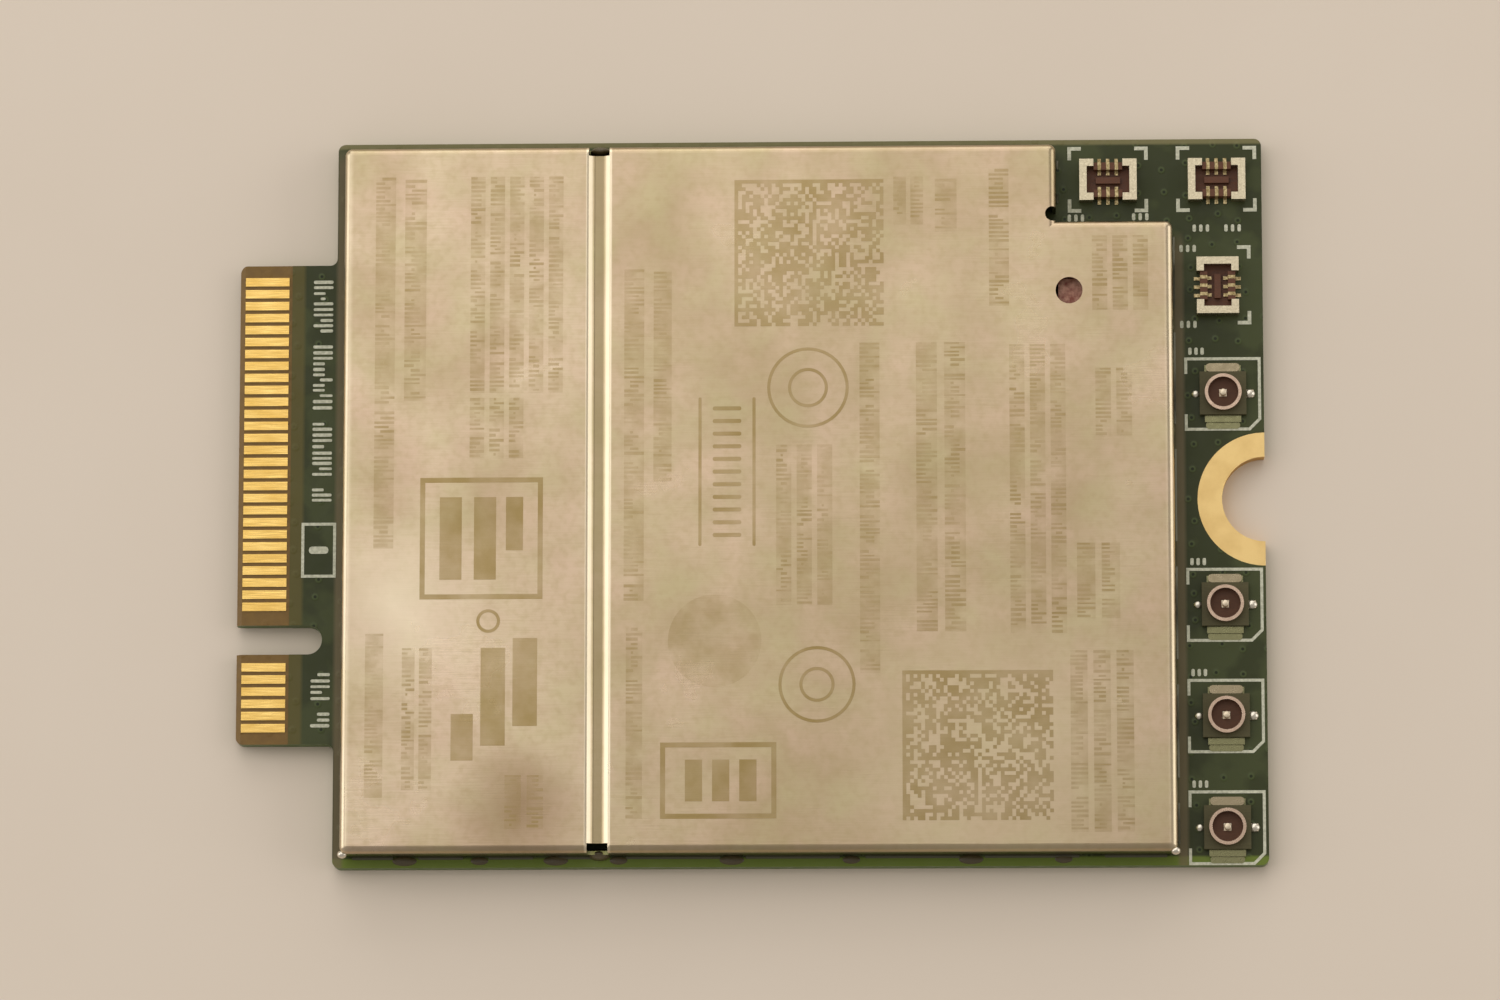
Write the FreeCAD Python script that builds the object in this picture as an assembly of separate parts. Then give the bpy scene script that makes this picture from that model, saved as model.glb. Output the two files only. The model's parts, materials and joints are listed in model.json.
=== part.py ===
import FreeCAD, Part
import math
import os

# Wireless wide-area-network card: a 30 x 42 mm card-edge radio module, single sided.
# Frame: origin under the middle of the card on its underside, +X from the gold-fingered tab
# to the screw notch, +Y across the card, +Z up out of the component side. Millimetres.

# Board
CARD_LENGTH = 42.0
CARD_WIDTH = 30.0
BOARD_THICKNESS = 0.8
BOARD_CORNER_RADIUS = 0.3
COPPER_THICKNESS = 0.04

# Card-edge tab, with its contacts on a staggered half pitch on the two faces
TAB_LENGTH = 4.0
TAB_SIDE_MARGIN = 0.5
SHOULDER_RADIUS = 0.3
BEVEL_LENGTH = 0.2
BEVEL_HEIGHT = 0.14
BARE_LENGTH = 2.15
PIN_COUNT = 75
CONTACT_PITCH = 0.5
CONTACT_WIDTH = 0.35
CONTACT_LENGTH = 1.8
CONTACT_SETBACK = 0.22
KEY_FIRST_PIN = 12
KEY_LAST_PIN = 19
KEY_WIDTH = 1.2
KEY_DEPTH = 3.5

# Screw notch in the far end, with a ground pad on each face
NOTCH_RADIUS = 1.75
NOTCH_PAD_WIDTH = 1.0

# Test pads on the underside
TEST_PAD_LENGTH = 1.0
TEST_PAD_WIDTH = 0.7
TEST_PAD_GAP = 0.7
TEST_PAD_ROWS = 8
TEST_PAD_COLUMNS = 2

# Antenna receptacles: one box of board for each, along the screw end
ANTENNA_BOX_LENGTH = 3.15
ANTENNA_BOX_WIDTH = 3.05
ANTENNA_EDGE_GAP = 0.1
BOX_TO_PAD_GAP = 0.08
RING_RADIUS = 0.75
RING_WALL = 0.13
RECEPTACLE_HEIGHT = 0.6
INSULATOR_HEIGHT = 0.28
INSULATOR_LENGTH = 1.9
LEG_WIDTH = 0.3
LEG_SHEET = 0.1
BAR_SPAN = 1.8
BAR_LENGTH = 1.48
BAR_WIDTH = 0.28
PIN_RADIUS = 0.14
PIN_TIP_RADIUS = 0.09
PIN_HEIGHT = 0.5
PIN_TAIL_WIDTH = 0.3
PIN_TAIL_REACH = 1.25

# Millimetre-wave sockets: small board-to-board receptacles in the corner
SOCKET_BOX_LENGTH = 3.2
SOCKET_BOX_WIDTH = 2.65
SOCKET_EDGE_GAP = 0.25
SOCKET_SIDE_GAP = 0.45
SOCKET_PITCH = 4.45
SOCKET_LENGTH = 2.35
SOCKET_WIDTH = 1.72
SOCKET_HEIGHT = 0.6
SOCKET_FLOOR = 0.12
CLIP_WALL = 0.3
CLIP_ARM = 0.58
CLIP_SHEET = 0.08
SOCKET_WALL = 0.3
SOCKET_WALL_OUTER = 0.72
SOCKET_WALL_HEIGHT = 0.5
ISLAND_LENGTH = 1.0
ISLAND_WIDTH = 0.26
ISLAND_HEIGHT = 0.34
SOCKET_CONTACTS = 3
SOCKET_CONTACT_PITCH = 0.35
SOCKET_CONTACT_WIDTH = 0.14
SOCKET_CONTACT_SHEET = 0.07
SOCKET_TAIL_REACH = 0.24
SOCKET_TOE_REACH = 0.18

# Shield can: one folded sheet over everything but the connectors
SHIELD_HEIGHT = 1.5
SHEET = 0.15
BEND_INNER_RADIUS = 0.15
SHIELD_TAB_GAP = 0.4
SHIELD_SIDE_GAP = 0.45
SHIELD_TO_ANTENNA_BOX = 0.45
SHIELD_TO_SOCKET_END = 0.55
SHIELD_TO_SOCKET_SIDE = 0.57
CORNER_SLIT = 0.12
FOLD_RELIEF_RADIUS = 0.3
GROOVE_FROM_TAB_WALL = 10.45
GROOVE_FLOOR_WIDTH = 0.36
GROOVE_SIDE_RUN = 0.28
GROOVE_DEPTH = 0.16
GROOVE_INNER_RADIUS = 0.05
GROOVE_FLOOR_RADIUS = 0.08
GROOVE_END_WIDTH = 0.85
GROOVE_END_REACH = 0.38
GROOVE_END_DROP = 0.9
SIGHT_HOLE_RADIUS = 0.55
SIGHT_HOLE_FROM_END = 4.24
SIGHT_HOLE_FROM_NOTCH = 2.9
VENT_LENGTH = 0.8
VENT_HEIGHT = 0.3
VENT_FROM_CORNER = 2.6
VENT_FROM_GROOVE = 0.6
VENT_PITCH_SHORT_BAY = 2.85
VENT_PITCH_LONG_BAY = 4.85
VENT_END_MARGIN = 1.6
SOLDER_HEIGHT = 0.15
SOLDER_REACH = 0.12
SOLDER_SAG = 0.38
SOLDER_END_GAP = 0.12

# Packages under the shield can, as (length, width, height)
PACKAGES = {
    "power_manager": (4.6, 4.6, 0.85),
    "low_band_amplifier": (4.2, 3.4, 0.75),
    "subscriber_identity_chip": (2.5, 2.2, 0.6),
    "modem_processor": (9.0, 9.4, 0.9),
    "memory_package": (8.0, 9.2, 0.8),
    "rf_transceiver": (4.4, 6.0, 0.7),
    "reference_oscillator": (2.0, 1.6, 0.75),
    "mmwave_transceiver": (4.2, 4.2, 0.65),
    "front_end_module_1": (3.2, 4.0, 0.75),
    "front_end_module_2": (3.2, 4.0, 0.75),
    "front_end_module_3": (3.2, 4.0, 0.75),
}
INDEX_CHAMFER = 0.3
THERMAL_PAD_MARGIN = 0.5
THERMAL_PADS = {"modem_thermal_pad": "modem_processor", "power_thermal_pad": "power_manager"}

# Banks of like small chips, each chip as (length, width, height), in rows along X and columns along Y
CHIPS = {
    "power_inductors": (2.0, 1.6, 1.0),
    "input_capacitors": (1.0, 0.5, 0.5),
    "decoupling_capacitors": (2.0, 1.25, 0.85),
}
CHIP_GAP = 0.3
BANK_ROWS = {"power_inductors": 1, "input_capacitors": 2, "decoupling_capacitors": 2}
BANK_COLUMNS = {"power_inductors": 5, "input_capacitors": 6, "decoupling_capacitors": 2}

# How the packages stand in each bay of the can: columns along X, each a list along Y
BAYS = {
    "short_bay": [
        ["power_manager", "low_band_amplifier", "subscriber_identity_chip"],
        ["power_inductors", "input_capacitors"],
    ],
    "long_bay": [
        ["modem_processor", "memory_package"],
        ["rf_transceiver", "reference_oscillator", "mmwave_transceiver"],
    ],
    "end_bay": [["front_end_module_1", "front_end_module_2", "front_end_module_3", "decoupling_capacitors"]],
}

# Running clearance between pieces that pass through or seat in one another
FIT = 0.01
# Overshoot of a cutting tool past the face that it breaks through
PAST = 0.5
TOUCH = 1e-6

V = FreeCAD.Vector

# Places that follow from the driving dimensions
card_end = CARD_LENGTH / 2
tab_end = -CARD_LENGTH / 2
shoulder = tab_end + TAB_LENGTH
half_width = CARD_WIDTH / 2
board_top = BOARD_THICKNESS
staggered_pitch = CONTACT_PITCH / 2
middle_pin = (PIN_COUNT + 1) / 2
tab_half = (PIN_COUNT - 1) * staggered_pitch / 2 + CONTACT_WIDTH / 2 + TAB_SIDE_MARGIN
pad_radius = NOTCH_RADIUS + NOTCH_PAD_WIDTH

antenna_x = card_end - ANTENNA_EDGE_GAP - ANTENNA_BOX_LENGTH / 2
antenna_inner_y = pad_radius + BOX_TO_PAD_GAP + ANTENNA_BOX_WIDTH / 2
antenna_outer_y = half_width - ANTENNA_BOX_WIDTH / 2
socket_x = card_end - SOCKET_EDGE_GAP - SOCKET_BOX_LENGTH / 2
socket_outer_y = half_width - SOCKET_SIDE_GAP - SOCKET_BOX_WIDTH / 2
antennas = [
    (antenna_x, antenna_inner_y),
    (antenna_x, -antenna_inner_y),
    (antenna_x, -(antenna_inner_y + antenna_outer_y) / 2),
    (antenna_x, -antenna_outer_y),
]
# Each socket is (x, y, turned a quarter or not)
sockets = [
    (socket_x - SOCKET_PITCH, socket_outer_y, False),
    (socket_x, socket_outer_y, False),
    (socket_x, (antenna_inner_y + socket_outer_y) / 2, True),
]

can_left = shoulder + SHIELD_TAB_GAP
can_right = antenna_x - ANTENNA_BOX_LENGTH / 2 - SHIELD_TO_ANTENNA_BOX
can_bottom = -half_width + SHIELD_SIDE_GAP
can_top = half_width - SHIELD_SIDE_GAP
can_step_x = socket_x - SOCKET_PITCH - SOCKET_BOX_LENGTH / 2 - SHIELD_TO_SOCKET_END
can_step_y = socket_outer_y - SOCKET_BOX_WIDTH / 2 - SHIELD_TO_SOCKET_SIDE
can_roof = board_top + SHIELD_HEIGHT
bend_radius = BEND_INNER_RADIUS + SHEET
groove_x = can_left + GROOVE_FROM_TAB_WALL
groove_shoulder = GROOVE_INNER_RADIUS + SHEET
groove_slope = math.atan2(GROOVE_DEPTH, GROOVE_SIDE_RUN)


def block(x0, x1, y0, y1, z0, z1):
    """A box between two corners."""
    return Part.makeBox(x1 - x0, y1 - y0, z1 - z0, V(x0, y0, z0))


def post(radius, x, y, z0, z1):
    """An upright cylinder."""
    return Part.makeCylinder(radius, z1 - z0, V(x, y, z0))


def prism(corners, z0, z1):
    """A plan outline of straight sides, raised from z0 to z1."""
    points = [V(x, y, z0) for x, y in corners]
    face = Part.Face(Part.makePolygon(points + points[:1]))
    return face.extrude(V(0, 0, z1 - z0))


def upright_edges(solid, corners):
    """The upright edges of a solid that stand at the given plan corners."""
    found = []
    for edge in solid.Edges:
        low, high = edge.Vertexes[0].Point, edge.Vertexes[-1].Point
        upright = abs(low.x - high.x) < TOUCH and abs(low.y - high.y) < TOUCH
        if upright and any(abs(low.x - x) < TOUCH and abs(low.y - y) < TOUCH for x, y in corners):
            found.append(edge)
    return found


def edges_at_height(solid, z):
    """The edges of a solid that lie wholly at one height."""
    return [e for e in solid.Edges if abs(e.BoundBox.ZMin - z) < TOUCH and abs(e.BoundBox.ZMax - z) < TOUCH]


def spread(start, end, lengths):
    """Centres of items of the given lengths, with equal gaps between them and at both ends."""
    gap = (end - start - sum(lengths)) / (len(lengths) + 1)
    centres = []
    at = start
    for length in lengths:
        at += gap + length / 2
        centres.append(at)
        at += length / 2
    return centres


# Board, contacts and pads


def pin_y(pin):
    """Where a contact of the tab lies across the card: pin 1 is at the -Y end."""
    return (pin - middle_pin) * staggered_pitch


def contact_pins(first):
    """The pins of one face, odd on top and even underneath, without those at the key."""
    return [p for p in range(first, PIN_COUNT + 1, 2) if not KEY_FIRST_PIN <= p <= KEY_LAST_PIN]


def edge_contacts(first, z0):
    """The gold fingers of one face of the tab."""
    x0 = tab_end + CONTACT_SETBACK
    half = CONTACT_WIDTH / 2
    return [
        block(x0, x0 + CONTACT_LENGTH, pin_y(p) - half, pin_y(p) + half, z0, z0 + COPPER_THICKNESS)
        for p in contact_pins(first)
    ]


def grid(length, width, gap, rows, columns):
    """Centres of like pieces in a grid about the origin: rows along X, columns along Y."""
    return [
        ((row - (rows - 1) / 2) * (length + gap), (column - (columns - 1) / 2) * (width + gap))
        for row in range(rows)
        for column in range(columns)
    ]


def test_pads():
    """A grid of flush pads on the underside, below the middle of the can."""
    half_length, half_pad = TEST_PAD_LENGTH / 2, TEST_PAD_WIDTH / 2
    return [
        block(x - half_length, x + half_length, y - half_pad, y + half_pad, 0, COPPER_THICKNESS)
        for x, y in grid(TEST_PAD_LENGTH, TEST_PAD_WIDTH, TEST_PAD_GAP, TEST_PAD_ROWS, TEST_PAD_COLUMNS)
    ]


def bevel(face_z, into):
    """The wedge that bevels the tab's end on one face; into is +1 upwards or -1 downwards."""
    corners = [
        V(tab_end, -half_width, face_z),
        V(tab_end + BEVEL_LENGTH, -half_width, face_z),
        V(tab_end, -half_width, face_z + into * BEVEL_HEIGHT),
    ]
    return Part.Face(Part.makePolygon(corners + corners[:1])).extrude(V(0, CARD_WIDTH, 0))


def circuit_board():
    """Laminate with its solder mask: bare at the tab, open at the pads."""
    tab_corners = [(tab_end, -tab_half), (tab_end, tab_half)]
    inner_corners = [(shoulder, -tab_half), (shoulder, tab_half)]
    outer_corners = [
        (shoulder, -half_width), (card_end, -half_width), (card_end, half_width), (shoulder, half_width),
    ]
    outline = [tab_corners[0], inner_corners[0], *outer_corners, inner_corners[1], tab_corners[1]]
    board = prism(outline, 0, board_top)
    board = board.makeFillet(BOARD_CORNER_RADIUS, upright_edges(board, tab_corners + outer_corners))
    board = board.makeFillet(SHOULDER_RADIUS, upright_edges(board, inner_corners))

    key_y = pin_y((KEY_FIRST_PIN + KEY_LAST_PIN) / 2)
    key_end = tab_end + KEY_DEPTH - KEY_WIDTH / 2
    half_key = KEY_WIDTH / 2
    bare_end = tab_end + BARE_LENGTH
    mask_top = board_top - COPPER_THICKNESS
    cuts = [
        block(tab_end - PAST, key_end, key_y - half_key, key_y + half_key, -PAST, board_top + PAST),
        post(half_key, key_end, key_y, -PAST, board_top + PAST),
        block(tab_end - PAST, bare_end, -half_width, half_width, mask_top, board_top + PAST),
        block(tab_end - PAST, bare_end, -half_width, half_width, -PAST, COPPER_THICKNESS),
        bevel(mask_top, -1),
        bevel(COPPER_THICKNESS, 1),
        post(NOTCH_RADIUS, card_end, 0, -PAST, board_top + PAST),
        post(pad_radius, card_end, 0, mask_top, board_top + PAST),
        post(pad_radius, card_end, 0, -PAST, COPPER_THICKNESS),
    ]
    return board.cut(cuts + test_pads())


def screw_ground_pads():
    """A gold half ring round the screw notch on each face."""
    bore = post(NOTCH_RADIUS, card_end, 0, -PAST, board_top + PAST)
    past_pad = pad_radius + PAST
    off_board = block(card_end, card_end + past_pad, -past_pad, past_pad, -PAST, board_top + PAST)
    return [
        post(pad_radius, card_end, 0, z, z + COPPER_THICKNESS).cut([bore, off_board])
        for z in (0, board_top - COPPER_THICKNESS)
    ]


# Shield can


def can_plan(inset):
    """The can's stepped outline in plan, moved inwards by a distance."""
    return [
        (can_left + inset, can_bottom + inset),
        (can_right - inset, can_bottom + inset),
        (can_right - inset, can_step_y - inset),
        (can_step_x - inset, can_step_y - inset),
        (can_step_x - inset, can_top - inset),
        (can_left + inset, can_top - inset),
    ]


def can_outside():
    """The can's outer surface as a solid block with rounded corners and roof bends."""
    corners = can_plan(0)
    step_corner = corners[3]
    convex = [c for c in corners if c != step_corner]
    body = prism(corners, board_top, can_roof)
    return body.makeFillet(bend_radius, upright_edges(body, convex) + edges_at_height(body, can_roof))


def can_inside():
    """The can's inner surface as a solid block: the walls meet squarely, each with its own bend."""
    ceiling = can_roof - SHEET
    body = prism(can_plan(SHEET), board_top, ceiling)
    return body.makeFillet(BEND_INNER_RADIUS, edges_at_height(body, ceiling))


def groove_bar(offset):
    """The pressed groove as a bar across the can; offset moves its surface through the sheet."""
    roof = can_roof - offset
    floor = roof - GROOVE_DEPTH
    foot = GROOVE_FLOOR_WIDTH / 2 + offset * math.tan(groove_slope / 2)
    rim = foot + GROOVE_SIDE_RUN
    y0 = can_bottom - PAST

    def at(side, x, z):
        return V(groove_x + side * x, y0, z)

    def bend(side, x, z, radius, turn):
        """Level end, middle and sloping end of the bend at a corner; turn is 1 at a rim and -1 at a foot."""
        reach = turn * radius * math.tan(groove_slope / 2)
        middle_x = x + reach - turn * radius * math.sin(groove_slope / 2)
        middle_z = z - turn * radius * (1 - math.cos(groove_slope / 2))
        sloping = at(side, x - reach * math.cos(groove_slope), z - reach * math.sin(groove_slope))
        return at(side, x + reach, z), at(side, middle_x, middle_z), sloping

    def half_edges(side):
        rim_bend = bend(side, rim, roof, groove_shoulder - offset, 1)
        foot_bend = bend(side, foot, floor, GROOVE_FLOOR_RADIUS + offset, -1)
        lid_corner = V(rim_bend[0].x, y0, can_roof + PAST)
        return [
            Part.LineSegment(lid_corner, rim_bend[0]),
            Part.Arc(*rim_bend),
            Part.LineSegment(rim_bend[2], foot_bend[2]),
            Part.Arc(*reversed(foot_bend)),
        ]

    left, right = half_edges(-1), half_edges(1)
    floor_line = Part.LineSegment(left[-1].EndPoint, right[-1].EndPoint)
    lid_line = Part.LineSegment(right[0].StartPoint, left[0].StartPoint)
    edges = [curve.toShape() for curve in left + [floor_line] + right + [lid_line]]
    wire = Part.Wire(Part.__sortEdges__(edges))
    return Part.Face(wire).extrude(V(0, can_top - can_bottom + 2 * PAST, 0))


def wall_vents(start, end, first, pitch):
    """Centres of the vents along one wall: the first one's distance from its start, then the pitch."""
    free = end - start - first - VENT_END_MARGIN
    if free < 0:
        return [(start + end) / 2]
    return [start + first + pitch * k for k in range(int(free / pitch) + 1)]


def can_walls():
    """Each straight wall as (axis, place of its outer face, outward sign, start, end, vents)."""
    corner, groove, long = VENT_FROM_CORNER, VENT_FROM_GROOVE, VENT_PITCH_LONG_BAY
    short_bay = wall_vents(can_left, groove_x, corner, VENT_PITCH_SHORT_BAY)
    side_vents = short_bay + wall_vents(groove_x, can_right, groove, long)
    stepped_vents = short_bay + wall_vents(groove_x, can_step_x, groove, long)
    past_relief = can_step_y + 2 * FOLD_RELIEF_RADIUS
    return [
        ("x", can_bottom, -1, can_left, can_right, side_vents),
        ("x", can_top, 1, can_left, can_step_x, stepped_vents),
        ("x", can_step_y, 1, can_step_x, can_right, wall_vents(can_step_x, can_right, corner, long)),
        ("y", can_left, -1, can_bottom, can_top, wall_vents(can_bottom, can_top, corner, long)),
        ("y", can_right, 1, can_bottom, can_step_y, wall_vents(can_bottom, can_step_y, corner, long)),
        ("y", can_step_x, 1, past_relief, can_top, wall_vents(past_relief, can_top, corner, long)),
    ]


def along_wall(axis, a0, a1, b0, b1, z0, z1):
    """A box given by its span along a wall and its span across that wall."""
    return block(a0, a1, b0, b1, z0, z1) if axis == "x" else block(b0, b1, a0, a1, z0, z1)


def vents():
    """The short openings under the walls, between one soldering foot and the next."""
    half = VENT_LENGTH / 2
    low, high = board_top - PAST, board_top + VENT_HEIGHT
    openings = []
    for axis, face, outward, start, end, centres in can_walls():
        across = sorted([face + outward * PAST, face - outward * (SHEET + PAST)])
        openings += [along_wall(axis, at - half, at + half, *across, low, high) for at in centres]
    return openings


def corner_slits():
    """Where two folded walls meet at an outer corner, a narrow slit up to the bend."""
    slits = []
    centre_x, centre_y = (can_left + can_right) / 2, (can_bottom + can_top) / 2
    reach, half_slit = bend_radius + PAST, CORNER_SLIT / 2
    corners = can_plan(0)
    for x, y in corners[:3] + corners[4:]:
        slit = block(-reach, reach, -half_slit, half_slit, board_top - PAST, can_roof - bend_radius)
        same_sign = (x > centre_x) == (y > centre_y)
        slit.rotate(V(0, 0, 0), V(0, 0, 1), 45 if same_sign else -45)
        slit.translate(V(x, y, 0))
        slits.append(slit)
    return slits


def shield_can():
    """One folded sheet: stepped outline, pressed groove, fold reliefs, sight hole and vents."""
    outer = can_outside().cut(groove_bar(0))
    void = can_inside().cut(groove_bar(SHEET))
    groove_end_floor = can_roof - GROOVE_END_DROP
    half_end = GROOVE_END_WIDTH / 2
    groove_ends = [
        block(groove_x - half_end, groove_x + half_end, y0, y1, groove_end_floor, can_roof + PAST)
        for y0, y1 in (
            (can_bottom - PAST, can_bottom + GROOVE_END_REACH),
            (can_top - GROOVE_END_REACH, can_top + PAST),
        )
    ]
    fold_relief = post(FOLD_RELIEF_RADIUS, can_step_x - SHEET, can_step_y + FOLD_RELIEF_RADIUS,
                       board_top - PAST, can_roof + PAST)
    sight_x, sight_y = can_right - SIGHT_HOLE_FROM_END, can_step_y - SIGHT_HOLE_FROM_NOTCH
    sight_hole = post(SIGHT_HOLE_RADIUS, sight_x, sight_y, can_roof - PAST, can_roof + PAST)
    return outer.cut([void, *groove_ends, fold_relief, sight_hole, *corner_slits(), *vents()])


def solder_joint(axis, face, outward, start, end):
    """The hollow fillet of solder outside one foot of the can, from start to end along its wall."""

    def at(out, z):
        across = face + outward * out
        return V(start, across, board_top + z) if axis == "x" else V(across, start, board_top + z)

    hollow = at(SOLDER_REACH * SOLDER_SAG, SOLDER_HEIGHT * SOLDER_SAG)
    corners = [at(0, 0), at(SOLDER_REACH, 0), hollow, at(0, SOLDER_HEIGHT)]
    section = Part.Face(Part.makePolygon(corners + corners[:1]))
    return section.extrude(V(end - start, 0, 0) if axis == "x" else V(0, end - start, 0))


def shield_solder():
    """A solder joint along every foot of the can, clear of the corners and the vents."""
    joints = []
    clear = VENT_LENGTH / 2 + SOLDER_END_GAP
    for axis, face, outward, start, end, centres in can_walls():
        low = start + bend_radius + SOLDER_END_GAP
        for stop in centres + [end - bend_radius - SOLDER_END_GAP + clear]:
            joints.append(solder_joint(axis, face, outward, low, stop - clear))
            low = stop + clear
    return joints


# Antenna receptacles


def leg_block(side, slack, height):
    """A leg under the ring and its run out to the solder bar; slack widens it into a slot."""
    half = LEG_WIDTH / 2 + slack
    near = RING_RADIUS - RING_WALL + FIT - slack
    far = RING_RADIUS - RING_WALL + FIT + LEG_SHEET + slack
    leg = block(-half, half, *sorted([side * near, side * far]), 0, height)
    run = block(-half, half, *sorted([side * near, side * BAR_SPAN / 2]), 0, LEG_SHEET + slack)
    return leg.fuse(run).removeSplitter()


def ground_shell():
    """Ring on the moulding, with two legs down through it and out to solder bars on the board."""
    bore = post(RING_RADIUS - RING_WALL, 0, 0, 0, RECEPTACLE_HEIGHT + PAST)
    ring = post(RING_RADIUS, 0, 0, INSULATOR_HEIGHT, RECEPTACLE_HEIGHT).cut(bore)
    bar_near, bar_far = BAR_SPAN / 2, BAR_SPAN / 2 + BAR_WIDTH
    limbs = []
    for side in (-1, 1):
        across = sorted([side * bar_near, side * bar_far])
        limbs.append(block(-BAR_LENGTH / 2, BAR_LENGTH / 2, *across, 0, LEG_SHEET))
        limbs.append(leg_block(side, 0, INSULATOR_HEIGHT))
    return ring.fuse(limbs).removeSplitter()


def receptacle_insulator():
    """Moulded base under the ring, with slots for its legs, the pin's hole and the pin's tail."""
    half_length = INSULATOR_LENGTH / 2
    half_base = BAR_SPAN / 2 - FIT
    base = block(-half_length, half_length, -half_base, half_base, 0, INSULATOR_HEIGHT)
    half_slot = PIN_TAIL_WIDTH / 2 + FIT
    pin_hole = block(-half_slot, half_slot, -half_slot, half_slot, -PAST, RECEPTACLE_HEIGHT)
    tail_slot = block(-half_slot, half_length + PAST, -half_slot, half_slot, -PAST, LEG_SHEET + FIT)
    leg_slots = [leg_block(side, FIT, INSULATOR_HEIGHT + PAST) for side in (-1, 1)]
    return base.cut([pin_hole, tail_slot, *leg_slots])


def signal_pin():
    """Centre contact: a tapered tip on a square shank, and its tail along the board."""
    half = PIN_TAIL_WIDTH / 2
    shank = block(-half, half, -half, half, 0, INSULATOR_HEIGHT)
    tail = block(-half, PIN_TAIL_REACH, -half, half, 0, LEG_SHEET)
    tip = Part.makeCone(PIN_RADIUS, PIN_TIP_RADIUS, PIN_HEIGHT - INSULATOR_HEIGHT, V(0, 0, INSULATOR_HEIGHT))
    return shank.fuse([tail, tip]).removeSplitter()


# Millimetre-wave sockets


def clip_plan(side, inset, z0, z1):
    """One end clip's C in plan, narrowed by inset on every side, from z0 to z1."""
    end, half_socket = -SOCKET_LENGTH / 2, SOCKET_WIDTH / 2
    half_outer, half_inner = half_socket - inset, half_socket - CLIP_WALL + inset
    outer = block(end + inset, end + CLIP_ARM - inset, -half_outer, half_outer, z0, z1)
    inner = block(end + CLIP_WALL - inset, PAST, -half_inner, half_inner, z0 - PAST, z1 + PAST)
    clip = outer.cut(inner)
    if side > 0:
        clip.rotate(V(0, 0, 0), V(0, 0, 1), 180)
    return clip


def end_clips():
    """Folded metal caps over the two ends of the socket, their inner skins stopping over its floor."""
    half_length, half_socket = SOCKET_LENGTH / 2, SOCKET_WIDTH / 2
    skin = CLIP_WALL - CLIP_SHEET - FIT
    over_floor = block(-half_length + skin, half_length - skin, -half_socket + skin, half_socket - skin,
                       -PAST, SOCKET_FLOOR + FIT)
    clips = []
    for side in (-1, 1):
        cap = clip_plan(side, 0, 0, SOCKET_HEIGHT)
        hollow = clip_plan(side, CLIP_SHEET, -PAST, SOCKET_HEIGHT - CLIP_SHEET)
        clips.append(cap.cut([hollow, over_floor]))
    return clips


def contact_strip(side, width):
    """Every contact of one long side: tail, riser, saddle over the wall, inner leg and toe."""
    sheet = SOCKET_CONTACT_SHEET
    outer, inner = SOCKET_WALL_OUTER, SOCKET_WALL_OUTER - SOCKET_WALL
    top = SOCKET_WALL_HEIGHT
    tail, toe = outer + SOCKET_TAIL_REACH, inner - SOCKET_TOE_REACH
    floor = SOCKET_FLOOR
    section = [
        (tail, 0), (tail, sheet), (outer, sheet), (outer, top), (inner, top), (inner, floor + sheet),
        (toe, floor + sheet), (toe, floor), (inner + sheet, floor), (inner + sheet, top - sheet),
        (outer - sheet, top - sheet), (outer - sheet, 0),
    ]
    strips = []
    for k in range(SOCKET_CONTACTS):
        start = (k - (SOCKET_CONTACTS - 1) / 2) * SOCKET_CONTACT_PITCH - width / 2
        points = [V(start, side * w, z) for w, z in section]
        strips.append(Part.Face(Part.makePolygon(points + points[:1])).extrude(V(width, 0, 0)))
    return strips


def socket_contacts():
    """The contacts of both long sides."""
    return contact_strip(-1, SOCKET_CONTACT_WIDTH) + contact_strip(1, SOCKET_CONTACT_WIDTH)


def socket_housing():
    """Moulded tub: floor, slotted long walls, ribs inside the end clips and a middle island."""
    end = SOCKET_LENGTH / 2 - CLIP_SHEET - FIT
    outer, inner = SOCKET_WALL_OUTER, SOCKET_WALL_OUTER - SOCKET_WALL
    side_end = SOCKET_LENGTH / 2 - CLIP_ARM - FIT
    clip_gap = SOCKET_WIDTH / 2 - CLIP_WALL
    floor = block(-end, end, -clip_gap, clip_gap, 0, SOCKET_FLOOR)
    walls = [
        block(-side_end, side_end, min(side * inner, side * outer), max(side * inner, side * outer), 0,
              SOCKET_WALL_HEIGHT)
        for side in (-1, 1)
    ]
    ribs = [clip_plan(side, CLIP_SHEET + FIT, 0, SOCKET_HEIGHT - CLIP_SHEET - FIT) for side in (-1, 1)]
    half_island = ISLAND_LENGTH / 2
    island = block(-half_island, half_island, -ISLAND_WIDTH / 2, ISLAND_WIDTH / 2, 0, ISLAND_HEIGHT)
    slot_width = SOCKET_CONTACT_WIDTH + 2 * FIT
    slots = contact_strip(-1, slot_width) + contact_strip(1, slot_width)
    return floor.fuse(walls + ribs + [island]).removeSplitter().cut(slots)


def placed(shape, x, y, turned=False):
    """A connector's piece, moved from its own centre to its place on the board."""
    copy = shape.copy()
    if turned:
        copy.rotate(V(0, 0, 0), V(0, 0, 1), 90)
    copy.translate(V(x, y, board_top))
    return copy


# Packages under the can


def chip_package(length, width, height):
    """A moulded and sawn package with an index corner."""
    body = block(-length / 2, length / 2, -width / 2, width / 2, 0, height)
    return body.makeChamfer(INDEX_CHAMFER, upright_edges(body, [(-length / 2, width / 2)]))


def chip_bank(name):
    """A grid of plain chips, centred on its own middle."""
    length, width, height = CHIPS[name]
    return [
        block(x - length / 2, x + length / 2, y - width / 2, y + width / 2, 0, height)
        for x, y in grid(length, width, CHIP_GAP, BANK_ROWS[name], BANK_COLUMNS[name])
    ]


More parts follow.
